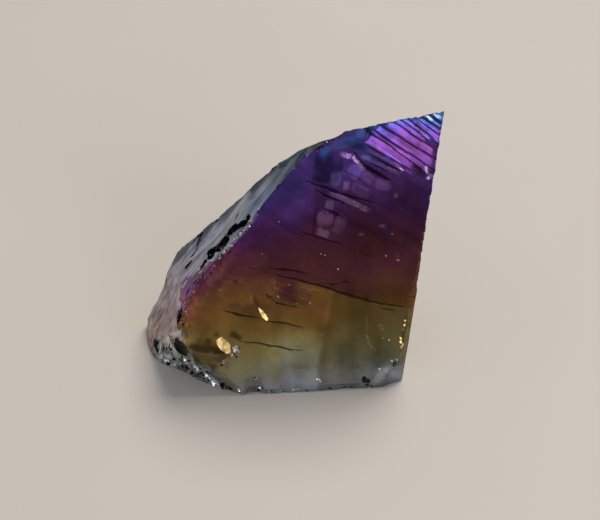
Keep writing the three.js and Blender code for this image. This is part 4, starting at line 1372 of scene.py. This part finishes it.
def on_ridges(face):
    """How far each place on the face is on the ridged tip, above its lowest ledge, 0 to 1."""
    start, end = np.array(LEDGES[0][:2])
    way = unit(end - start)
    above = (face - start) @ np.array((-way[1], way[0]))
    return smoothstep(-0.15, 0.1, above) * smoothstep(10.4, 10.9, face[:, 0])


def clouded(face, flat, film, tone, grey):
    """Film, tone and grey with the clouds laid over them, painted highlights among them."""
    ragged = 0.7 * lumps(flat, 0.5, 35) + 0.4 * lumps(flat, 0.2, 41)
    for centre, half_long, half_wide, degrees, lift, more, greyed in CLOUDS:
        x, y = turned(face, centre, degrees)
        swept = np.abs(x / half_long) ** 3 + np.abs(y / half_wide) ** 3 + ragged
        weight = smoothstep(1.9, 0.2, swept)
        tone = tone * (1 + (lift - 1) * weight)
        film = film + more * weight
        grey = np.maximum(grey, greyed * weight)
    return film, tone, grey


def film_on(points):
    """How far the film has grown at each point, in mm up the face, how bright the skin is and how
    far it is greyed. The brightness and greying hold painted highlights and glints as well as the
    skin's own tone."""
    places = on_face(points)
    face = places[:, :2]
    across, up, behind = places.T
    flat = np.column_stack((face, np.zeros(len(face))))
    ridge_way = flat @ LEDGE_AXES
    rim_gap = np.abs(left_of(face, FACE_RIM[1:9]))
    tip_gap = np.linalg.norm(face - np.array(FACE_RIM[0]), axis=1)
    ridged = on_ridges(face)
    film = np.where(up < SHOULDER, up, SHOULDER + (up - SHOULDER) * SHOULDER_GROWTH)
    # the film is thicker along the rim by the band
    near_left = smoothstep(8.5, 10.5, up) * smoothstep(3.5, 1.0, behind) * smoothstep(20, 17, up)
    narrow = 1.6 * np.exp(-rim_gap / 0.4) * smoothstep(14, 12, up)
    film += near_left * (2.2 * np.exp(-rim_gap / 1.2) + narrow)
    # the ridged tip's own film
    crest_gap = np.abs(left_of(face, FACE_RIM[:2]))
    film += ridged * (RIDGE_FILM + CREST_FILM * np.exp(-crest_gap / 1.7) - film)
    film += ridged * 1.3 * lumps(ridge_way, (3.0, 0.22, 1), 44)
    film += TIP_FILM * np.exp(-((tip_gap / 1.6) ** 2))
    # slow drifts, upright streaks in the film, lighter and darker upright streaks low on the face
    # and streaks along the ledges
    film += 0.8 * lumps(flat, 3.0, 31) + 0.5 * lumps(flat, 1.1, 32)
    film += 0.5 * lumps(flat, (0.8, 4.0, 1), 39)
    tone = 1 + 0.18 * lumps(flat, 1.6, 33) + 0.08 * lumps(flat, 0.4, 38)
    tone += 0.24 * lumps(flat, (0.9, 5.0, 1), 34) * smoothstep(11, 7, up)
    tone += 0.22 * lumps(ridge_way, (3.0, 0.4, 1), 37) * smoothstep(11, 14, up)
    # a thinner, dimmer stretch right of the middle
    thin = smoothstep(8, 10, across) * smoothstep(11, 13, up) * smoothstep(18.5, 17, up)
    film -= thin
    tone *= 1 - 0.2 * thin
    # a step in the film where the main crack parts it
    past_crack = left_of(face, CRACKS[0][2])
    by_crack = smoothstep(3.0, 5.5, across) * smoothstep(1.8, 0.2, np.abs(past_crack))
    film += by_crack * (1.9 * smoothstep(-0.1, 0.1, past_crack) - 0.9)
    # the chipped bevel: its film shifted, and its tone raised in speckles 0.3 mm across as painted
    # glints
    bevel = smoothstep(1.4, 0.5, np.hypot(rim_gap, behind))
    bevel *= smoothstep(5.5, 7.5, up) * smoothstep(14, 12.5, up)
    film += BEVEL_FILM * bevel * (smoothstep(10, 8, up) - smoothstep(10, 12, up))
    tone *= 1 + bevel * (0.85 + 0.7 * lumps(points, 0.3, 36))
    # brighter and darker strands along the ridges; the brightest are greyed near the very tip as
    # painted highlights
    strand = lumps(ridge_way, (2.2, 0.13, 1), 42) + 0.5 * lumps(ridge_way, (0.9, 0.3, 1), 43)
    tone *= 1 + ridged * (0.1 + 0.45 * strand)
    grey = 0.4 * np.exp(-((tip_gap / 1.8) ** 2)) * smoothstep(0.35, 0.8, strand)
    film, tone, grey = clouded(face, flat, film, tone, grey)
    # the tide line in the straw
    past_tide = left_of(face, TIDE_LINE)
    ebb = 0.1 * smoothstep(0.25, -0.25, past_tide) - 0.36 * smoothstep(-0.25, 0.25, past_tide)
    tone *= 1 + smoothstep(10, 8.5, up) * ebb
    return np.clip(film, 0, FILM_TOP), tone, grey


def skin_material(colours):
    """Oxide skin: a metal vapour fused onto the hot glass in a vacuum. Its film is a fraction of a
    micron thick and thickens up the face, so it shows the colours of steel being tempered: straw,
    bronze, purple, blue. It is as smooth as the glass, with a metal's coloured mirror gloss."""
    material, tree, coordinates, film, tone, pale, bare = new_material(
        "oxide_skin_fused", "film", "tone", "pale", "bare"
    )
    share = node(tree, "MapRange", {"From Max": FILM_TOP}, {"Value": film})
    ramp = node(tree, "ValToRGB", links={"Fac": share})
    stops(ramp, [(height / FILM_TOP, getattr(colours, name)) for name, height in FILM.items()])
    # tone: the skin's own tone, with painted highlights on the hook, the tip and the corner's edge
    # and painted glints on the chipped bevel
    toned = node(tree, "Mix", {"Factor": 1.0}, {"A": ramp, "B": tone}, **MULTIPLY)
    # paled towards dust at a break's rim, and towards the same colours as painted highlights
    dust_and_highlight = node(tree, "ValToRGB", links={"Fac": share})
    stops(dust_and_highlight, [(place, linear(colour)) for place, colour in DUST_AND_HIGHLIGHT])
    dusted_and_highlit = node(tree, "Mix", links={"Factor": pale, "A": toned, "B": dust_and_highlight}, data_type="RGBA")
    # painted shade in the cracks, where the film is also bare, and along the ledges' deep lines;
    # both are a little less metallic
    shade = node(tree, "MapRange", {"To Min": 1.0, "To Max": 0.3}, {"Value": bare})
    base = node(tree, "Mix", {"Factor": 1.0}, {"A": dusted_and_highlit, "B": shade}, **MULTIPLY)
    metal = node(tree, "MapRange", {"To Min": 0.92, "To Max": 0.85}, {"Value": bare})
    # the film lies duller in patches about 2 mm across
    haze = node(tree, "TexNoise", {"Scale": 500.0, "Detail": 4.0}, {"Vector": coordinates})
    sheen = node(tree, "MapRange", {"To Min": 0.2, "To Max": 0.34}, {"Value": haze})
    rough = node(tree, "Math", {1: 0.4}, {0: bare, 2: sheen}, operation="MULTIPLY_ADD")
    # hair-fine flow lines in the glass, drawn at 0.15 mm so that they show
    fine = node(tree, "TexNoise", {"Scale": 6500.0, "Detail": 2.0}, {"Vector": coordinates})
    flowed = node(tree, "Bump", {"Strength": 0.25, "Distance": 0.00002}, {"Height": fine})
    # the tip's ridges carry finer ones, about 0.1 mm apart
    run = streaked(tree, coordinates, LEDGE_AXES, (1.2, 8.0, 1.0))
    ridges = node(tree, "TexNoise", {"Scale": 1.0, "Detail": 3.0}, {"Vector": run})
    tip = {"From Min": 0.62, "From Max": 0.68, "To Max": 0.5}
    strength = node(tree, "MapRange", tip, {"Value": share})
    links = {"Strength": strength, "Height": ridges, "Normal": flowed}
    bump = node(tree, "Bump", {"Distance": 0.000025}, links)
    links = {"Base Color": base, "Metallic": metal, "Roughness": rough, "Normal": bump}
    shader = node(tree, "BsdfPrincipled", {"IOR": 1.5}, links)
    node(tree, "OutputMaterial", links={"Surface": shader})
    return material


def streaked(tree, coordinates, face_axes, scales):
    """Noise coordinates stretched along three axes of the broad face, with scales in waves a
    millimetre."""
    parts = {}
    for number, (axis, scale) in enumerate(zip((STAND[:, (0, 2, 1)] @ face_axes).T, scales)):
        way = [float(part) * scale / MM for part in axis]
        parts[number] = node(
            tree, "VectorMath", {1: way}, {0: coordinates}, operation="DOT_PRODUCT"
        )
    return node(tree, "CombineXYZ", links=parts)


def pearl_material(colours):
    """Pearl skin: the same vapour caught edge-on, too thin for colour. A silver-grey lustre, a
    little pink near the foot, streaked down the length of the band. Its back rim is darkened as a
    painted dark reflection."""
    material, tree, coordinates, rim, pale = new_material("oxide_skin_pearl", "rim", "pale")
    up = [float(part) / MM for part in STAND[:, 2]]
    rise = node(tree, "VectorMath", {1: up}, {0: coordinates}, operation="DOT_PRODUCT")
    foot = float(FACE_CORNER @ STAND[:, 2])
    heights = {"From Min": foot, "From Max": foot + FILM_TOP}
    share = node(tree, "MapRange", heights, {"Value": rise})
    ramp = node(tree, "ValToRGB", links={"Fac": share})
    stops(ramp, [(place, getattr(colours, name)) for place, name in PEARL])
    # streaks 0.3 mm wide
    run = streaked(tree, coordinates, BAND_AXES, (0.4, 3.2, 1.4))
    streak = node(tree, "TexNoise", {"Scale": 1.0, "Detail": 5.0}, {"Vector": run})
    tones = {"From Min": 0.34, "From Max": 0.66, "To Min": 0.45, "To Max": 1.6}
    tone = node(tree, "MapRange", tones, {"Value": streak})
    base = node(tree, "Mix", {"Factor": 1.0}, {"A": ramp, "B": tone}, **MULTIPLY)
    # the back rim, darkened and made less metallic as a painted dark reflection
    links = {"Factor": rim, "A": base}
    dark = node(tree, "Mix", {"B": colours.pearl_rim_dark_reflection}, links, data_type="RGBA")
    links = {"Factor": pale, "A": dark}
    ridged = node(tree, "Mix", {"B": colours.frost}, links, data_type="RGBA")
    metal = node(tree, "MapRange", {"To Min": 0.85, "To Max": 0.6}, {"Value": rim})
    values = {"Roughness": 0.36, "Specular IOR Level": 0.2}
    links = {"Base Color": ridged, "Metallic": metal}
    shader = node(tree, "BsdfPrincipled", values, links)
    node(tree, "OutputMaterial", links={"Surface": shader})
    return material


def chip_material(name, colour, metallic, roughness, crinkle, specular):
    """A fresh break in the glass, with what film it carries: hackles and ripples finer than a
    tenth of a millimetre, drawn at 0.2 mm, make it glitter."""
    material, tree, coordinates = new_material(name)
    cloud = node(tree, "TexNoise", {"Scale": 1600.0, "Detail": 3.0}, {"Vector": coordinates})
    tones = {"From Min": 0.35, "From Max": 0.62, "To Min": 0.3, "To Max": 1.15}
    tone = node(tree, "MapRange", tones, {"Value": cloud})
    base = node(tree, "Mix", {"Factor": 1.0, "A": colour}, {"B": tone}, **MULTIPLY)
    hackle = node(tree, "TexNoise", {"Scale": 5000.0, "Detail": 2.0}, {"Vector": coordinates})
    bump = node(tree, "Bump", {"Strength": crinkle, "Distance": 0.0001}, {"Height": hackle})
    values = {"Metallic": metallic, "Roughness": roughness, "IOR": 1.5,
              "Specular IOR Level": specular}  # fmt: skip
    shader = node(tree, "BsdfPrincipled", values, {"Base Color": base, "Normal": bump})
    node(tree, "OutputMaterial", links={"Surface": shader})
    return material


# The fresh breaks, bare or with what film they took: (name, metallic, roughness, crinkle,
# specular).
BREAKS = {
    "glass": ("obsidian_bare", 0.0, 0.2, 0.15, 0.14),
    "silver": ("obsidian_silvered", 0.85, 0.18, 0.4, 0.5),
    "gold": ("obsidian_gilded", 0.7, 0.34, 0.12, 0.5),
    "slate": ("obsidian_hazed", 0.8, 0.3, 0.2, 0.5),
    "dusk": ("obsidian_dusky", 0.6, 0.3, 0.2, 0.3),
    "frost": ("obsidian_crushed", 0.4, 0.35, 0.5, 0.5),
}


def floor_material(colour):
    """Painted board: pale matt paint, plain but for faint clouds 4 cm across."""
    material, tree, coordinates = new_material("painted_board")
    cloud = node(tree, "TexNoise", {"Scale": 25.0, "Detail": 3.0}, {"Vector": coordinates})
    ramp = node(tree, "ValToRGB", links={"Fac": cloud})
    lighter = (*(1.04 * part for part in colour[:3]), 1.0)
    stops(ramp, ((0.3, colour), (0.7, lighter)))
    shader = node(tree, "BsdfPrincipled", {"Roughness": 0.6}, {"Base Color": ramp})
    node(tree, "OutputMaterial", links={"Surface": shader})
    return material


# ---------------------------------------------------------------- the whole stone


def gap_to_path(places, path):
    """Distance from each place to a path in space, both on the face's own axes."""
    path = np.array(path, float)
    gap = np.full(len(places), np.inf)
    for start, end in zip(path, path[1:]):
        step = end - start
        t = np.clip((places - start) @ step / (step @ step), 0, 1)
        gap = np.minimum(gap, np.linalg.norm(places - start - t[:, None] * step, axis=1))
    return gap


def blank_finishes(skin, points):
    """The finish of each of the blank's triangles, as its number: pearl on the band and a little
    past it, hazed in the broken corner, and film on the rest."""
    centres = on_face(points[skin.triangles].mean(axis=1))
    up, behind = centres[:, 1], centres[:, 2]
    pearl, film, slate = (FINISHES.index(name) for name in ("pearl", "skin", "slate"))
    foot_end = on_face(FACE_CORNER + np.array([(*FOOT[8], 0)]))[0]
    past_rim = gap_to_path(centres, (*BACK_RIM, foot_end)) + 0.4 * lumps(centres, 1.2, 24)
    corner = (skin.sides == "corner") & (behind > 0.9 + 0.3 * lumps(centres, 0.8, 25))
    pearly = (skin.sides == "band") | corner | ((skin.sides == "back") & (past_rim < PEARL_WRAP))
    finishes = np.where(pearly, pearl, film)
    wrapped = FILM_WRAP * smoothstep(5.5, 7.0, up) * smoothstep(12.6, 11.4, up)
    wrapped += BEVEL_WRAP * smoothstep(7.0, 8.2, up) * smoothstep(11.0, 10.0, up)
    wrapped *= 1 + 0.45 * lumps(centres, 0.6, 27)
    finishes[(skin.sides == "band") & (behind < wrapped)] = film
    broken = gap_to_path(centres, BROKEN) + 0.5 * lumps(centres, 0.7, 26)
    finishes[pearly & (broken < BROKEN_REACH)] = slate
    return finishes.astype(np.int32)


def drop_crumbs(mesh):
    """Keeps the stone's one body, without the crumbs that the cuts left loose."""
    stone = bmesh.new()
    stone.from_mesh(mesh)
    waiting = set(stone.verts)
    bodies = []
    while waiting:
        body = [waiting.pop()]
        for vert in body:
            beside = {edge.other_vert(vert) for edge in vert.link_edges} & waiting
            waiting -= beside
            body.extend(beside)
        bodies.append(body)
    bodies.sort(key=len)
    for crumb in bodies[:-1]:
        bmesh.ops.delete(stone, geom=crumb, context="VERTS")
    stone.to_mesh(mesh)
    stone.free()


def finish_mesh(mesh, sizes):
    """Writes what the finishes read, sharpens the arrises and scales the mesh to metres."""
    points = np.empty(len(mesh.vertices) * 3)
    mesh.vertices.foreach_get("co", points)
    points = points.reshape(-1, 3)
    places = on_face(points)
    up, behind = places[:, 1], places[:, 2]
    _, bare = face_relief(places[:, :2], sizes)
    film, tone, pale = film_on(points)
    # rim: where the band's back rim is darkened as a painted dark reflection
    past_rim = gap_to_path(places, BACK_RIM)
    past_rim += 0.7 * lumps(points, (1.6, 1.6, 2.4), 21) + 0.25 * lumps(points, 0.5, 22)
    reach = RIM_REACH - RIM_NARROWING * smoothstep(14.5, 17, up)
    rim = smoothstep(1, 0.5, past_rim / reach) * smoothstep(7.0, 10.5, up)
    # pale: dust at a break's rim, and painted highlights where clouds and the tip's strands are
    # greyed
    pale *= smoothstep(0.6, 0.4, behind)
    for half_wide, path in PALE_RIMS:
        gap = gap_to_path(places, path) + 0.06 * lumps(points, 0.4, 23)
        pale = np.maximum(pale, 0.9 * smoothstep(half_wide, half_wide * 0.4, gap))
    # the painted shade of cracks and ledges stays on the broad face
    bare *= smoothstep(0.5, 0.35, behind)
    marks = {"film": film, "tone": tone, "bare": bare, "rim": rim, "pale": pale}
    for name, values in marks.items():
        mark = mesh.attributes.new(name, "FLOAT", "POINT")
        mark.data.foreach_set("value", values.astype(np.float32))
    mesh.polygons.foreach_set("use_smooth", np.ones(len(mesh.polygons), bool))
    mesh.vertices.foreach_set("co", (points * MM).ravel())
    mesh.update()
    mesh.set_sharp_from_angle(angle=sizes.crease)


# ---------------------------------------------------------------- the add-on

CAMERA = (0.904, -118.17, 100.93)  # where the camera stands, in mm
CAMERA_TILT = math.radians(52)  # up from looking straight down
SENSOR = 36.0  # width of its sensor
NEAREST_SEEN, FURTHEST_SEEN = 0.005, 10.0  # in metres
# The lights, aimed at the shard: (name, its name in the settings, place in metres, colour).
LIGHTS = (
    ("key_light", "key", (0.36, 0.57, 1.03), "#fff8f0"),
    ("front_light", "fill", (0.4, -0.5, 0.36), "#f4f6ff"),
)
SKY = "#e8ecf2"  # light from all round


def length(name, description, default):
    """A length in the panel, given in mm and kept in metres."""
    return FloatProperty(
        name=name, description=description, default=default * MM, min=0.0, unit="LENGTH",
        subtype="DISTANCE", precision=6,
    )  # fmt: skip


def tint(name, description, colour):
    """A colour in the panel, given as sRGB hex and kept linear."""
    return FloatVectorProperty(
        name=name, description=description, default=linear(colour), size=4, min=0.0, max=1.0,
        subtype="COLOR",
    )  # fmt: skip


class ShardSizes(bpy.types.PropertyGroup):
    """The sizes of the shard's fine relief, and how finely it is meshed."""

    face_net: length("Face net", "Spacing of points on the broad face", 0.19)
    fine_net: length("Fine net", "Spacing of points by cracks and ledges", 0.085)
    side_net: length("Side net", "Spacing of points on the band and the corner", 0.2)
    back_net: length("Back net", "Spacing of points on the hidden sides", 0.32)
    wear: length("Edge wear", "Deepest nick worn into an arris", 0.12)
    swell: length("Face swell", "How far the broad face swells and sinks", 0.05)
    band_swell: length("Band swell", "How far the band swells and sinks", 0.07)
    back_swell: length("Back swell", "How far the hidden sides swell and sink", 0.12)
    crack_open: FloatProperty(
        name="Open cracks", description="How much of a crack's depth stands open",
        default=0.55, min=0.0, max=1.0, subtype="FACTOR",
    )  # fmt: skip
    ledge_depth: FloatProperty(
        name="Ledge depth", description="Depth of the tip's ledges, as a part of their own",
        default=1.0, min=0.0, max=1.5, subtype="FACTOR",
    )  # fmt: skip
    crease: FloatProperty(
        name="Crease", description="Faces that meet at more than this stay sharp",
        default=math.radians(24), subtype="ANGLE",
    )  # fmt: skip


class ShardColours(bpy.types.PropertyGroup):
    """The colours of the oxide film, from the foot to the tip, and of the fresh breaks."""

    corner_blue: tint("Corner blue", "Film on the lower right corner", "#868c95")
    foot_grey: tint("Foot grey", "Film at the foot", "#8f8f8f")
    ash: tint("Ash", "Film 2 mm up the face", "#808072")
    olive_grey: tint("Olive grey", "Film 3 mm up the face", "#8a8668")
    olive: tint("Olive", "Film 4 mm up the face", "#8c7e50")
    straw: tint("Straw", "Film 6 mm up the face", "#876936")
    bronze: tint("Bronze", "Film 8 mm up the face", "#845d30")
    brown: tint("Brown", "Film 9 mm up the face", "#754b32")
    russet: tint("Russet", "Film 10 mm up the face", "#653735")
    maroon: tint("Maroon", "Film 12 mm up the face", "#5e2f3c")
    plum: tint("Plum", "Film 13.5 mm up the face", "#582a4a")
    purple: tint("Purple", "Film 15 mm up the face", "#562c62")
    violet: tint("Violet", "Film 16.5 mm up the face", "#62387e")
    indigo: tint("Indigo", "Film 18 mm up the face", "#5e4498")
    blue: tint("Blue", "Film near the tip", "#4c52ac")
    azure: tint("Azure", "Film on the shoulder", "#3a62b8")
    cyan: tint("Cyan", "Film at the very tip", "#4a8cd0")
    pearl_foot: tint("Pearl, foot", "Thin film at the foot of the band", "#9c8a84")
    pearl_pink: tint("Pearl, pink", "Thin film low on the band", "#a2939e")
    pearl_violet: tint("Pearl, violet", "Thin film halfway up the band", "#a3a1b0")
    pearl_blue: tint("Pearl, blue", "Thin film high on the band", "#969fb2")
    pearl_top: tint("Pearl, top", "Thin film at the top of the band", "#747980")
    # the band's back rim is darkened as a painted dark reflection of dark surroundings
    pearl_rim_dark_reflection: tint("Pearl, rim", "The blue-black back rim of the band", "#3f4c5f")
    glass: tint("Glass", "Bare volcanic glass", "#0a0a0e")
    silver: tint("Silver", "Fresh break with a bright film", "#d3d6d6")
    gold: tint("Gold", "Splinter scar with a straw film", "#f6d28c")
    slate: tint("Slate", "Hazed grey break", "#b6bbbc")
    dusk: tint("Dusk", "Small dark green break", "#3c4a47")
    frost: tint("Frost", "Crushed glass", "#e2d4c8")


class StudioLook(bpy.types.PropertyGroup):
    """The studio round the shard."""

    lens: FloatProperty(
        name="Lens", description="Focal length", default=105.9, min=10, unit="CAMERA"
    )
    floor_half: length("Floor", "Half the width of the floor", 1500)
    board: tint("Board", "Colour of the painted board", "#c9c2ba")
    key: FloatProperty(
        name="Key light", description="Power of the soft key light", default=11.2, unit="POWER"
    )
    key_size: length("Key light size", "Width of the soft key light", 600)
    fill: FloatProperty(
        name="Front light", description="Power of the front light", default=0.9, unit="POWER"
    )
    fill_size: length("Front light size", "Width of the front light", 300)
    sky: FloatProperty(
        name="Sky", description="Strength of the light from all round", default=0.36
    )


class SHARD_OT_build(bpy.types.Operator):
    """Knap the shard and give it its finishes"""

    bl_idname = "shard.build"
    bl_label = "Build shard"
    bl_options = {"REGISTER", "UNDO"}

    def execute(self, context):
        sizes = context.scene.shard_sizes
        colours = context.scene.shard_colours
        made = {"skin": skin_material(colours), "pearl": pearl_material(colours)}
        for finish, (name, *looks) in BREAKS.items():
            made[finish] = chip_material(name, getattr(colours, finish), *looks)
        materials = [made[finish] for finish in FINISHES]
        skin = Skin(sizes)
        points = weathered(skin, sizes)
        mesh = new_mesh("blank", points, skin.triangles, materials)
        mesh.polygons.foreach_set("material_index", blank_finishes(skin, points))
        mesh = struck(mesh, shaping_cuts(), materials)
        mesh = struck(mesh, breaking_cuts(surface_of(mesh)), materials)
        mesh = struck(mesh, glinting_cuts(surface_of(mesh)), materials)
        if not mesh.polygons:
            raise RuntimeError("the cuts left nothing of the stone")
        drop_crumbs(mesh)
        finish_mesh(mesh, sizes)
        shard = placed("obsidian_shard_stone", mesh)
        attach(shard, "root")
        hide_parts(NODE)
        return {"FINISHED"}


class SHARD_OT_studio(bpy.types.Operator):
    """Set the floor, the lights and the camera"""

    bl_idname = "shard.studio"
    bl_label = "Set studio"
    bl_options = {"REGISTER", "UNDO"}

    def execute(self, context):
        look = context.scene.shard_studio
        half = look.floor_half
        corners = [(-half, -half, 0), (half, -half, 0), (half, half, 0), (-half, half, 0)]
        mesh = new_mesh("floor", corners, [(0, 1, 2, 3)], [floor_material(look.board)])
        floor = placed("floor", mesh)
        for name, setting, place, colour in LIGHTS:
            lamp = bpy.data.lights.new(name, "AREA")
            lamp.shape = "DISK"
            lamp.size = getattr(look, setting + "_size")
            lamp.energy = getattr(look, setting)
            lamp.color = linear(colour)[:3]
            light = placed(name, lamp)
            light.location = place
            light.rotation_euler = (-Vector(place)).to_track_quat("-Z", "Y").to_euler()
        world = bpy.data.worlds.new("studio")
        world.use_nodes = True
        tree = world.node_tree
        tree.nodes.clear()
        sky = node(tree, "Background", {"Color": linear(SKY), "Strength": look.sky})
        node(tree, "OutputWorld", links={"Surface": sky})
        context.scene.world = world
        context.scene.view_settings.view_transform = "Standard"
        lens = bpy.data.cameras.new("camera")
        lens.lens = look.lens
        lens.sensor_width = SENSOR
        lens.clip_start, lens.clip_end = NEAREST_SEEN, FURTHEST_SEEN
        camera = placed("camera", lens)
        camera.location = Vector(CAMERA) * MM
        camera.rotation_euler = (CAMERA_TILT, 0, 0)
        context.scene.camera = camera
        return {"FINISHED"}


class SHARD_PT_panel(bpy.types.Panel):
    """The shard's sizes and operators"""

    bl_idname = "SHARD_PT_panel"
    bl_label = "Aura Obsidian Shard"
    bl_space_type = "VIEW_3D"
    bl_region_type = "UI"
    bl_category = "Shard"

    def draw(self, context):
        layout = self.layout
        scene = context.scene
        for settings in (scene.shard_sizes, scene.shard_colours, scene.shard_studio):
            for name in settings.__annotations__:
                layout.prop(settings, name)
        layout.operator(SHARD_OT_build.bl_idname)
        layout.operator(SHARD_OT_studio.bl_idname)


CLASSES = (ShardSizes, ShardColours, StudioLook, SHARD_OT_build, SHARD_OT_studio, SHARD_PT_panel)


def register():
    """Adds the panel, its operators and their settings."""
    for cls in CLASSES:
        bpy.utils.register_class(cls)
    bpy.types.Scene.shard_sizes = PointerProperty(type=ShardSizes)
    bpy.types.Scene.shard_colours = PointerProperty(type=ShardColours)
    bpy.types.Scene.shard_studio = PointerProperty(type=StudioLook)


def unregister():
    """Takes them away again."""
    del bpy.types.Scene.shard_studio
    del bpy.types.Scene.shard_colours
    del bpy.types.Scene.shard_sizes
    for cls in reversed(CLASSES):
        bpy.utils.unregister_class(cls)


def main():
    """Builds the shard and its studio."""
    register()
    bpy.ops.shard.build()
    bpy.ops.shard.studio()


if __name__ == "__main__":
    main()
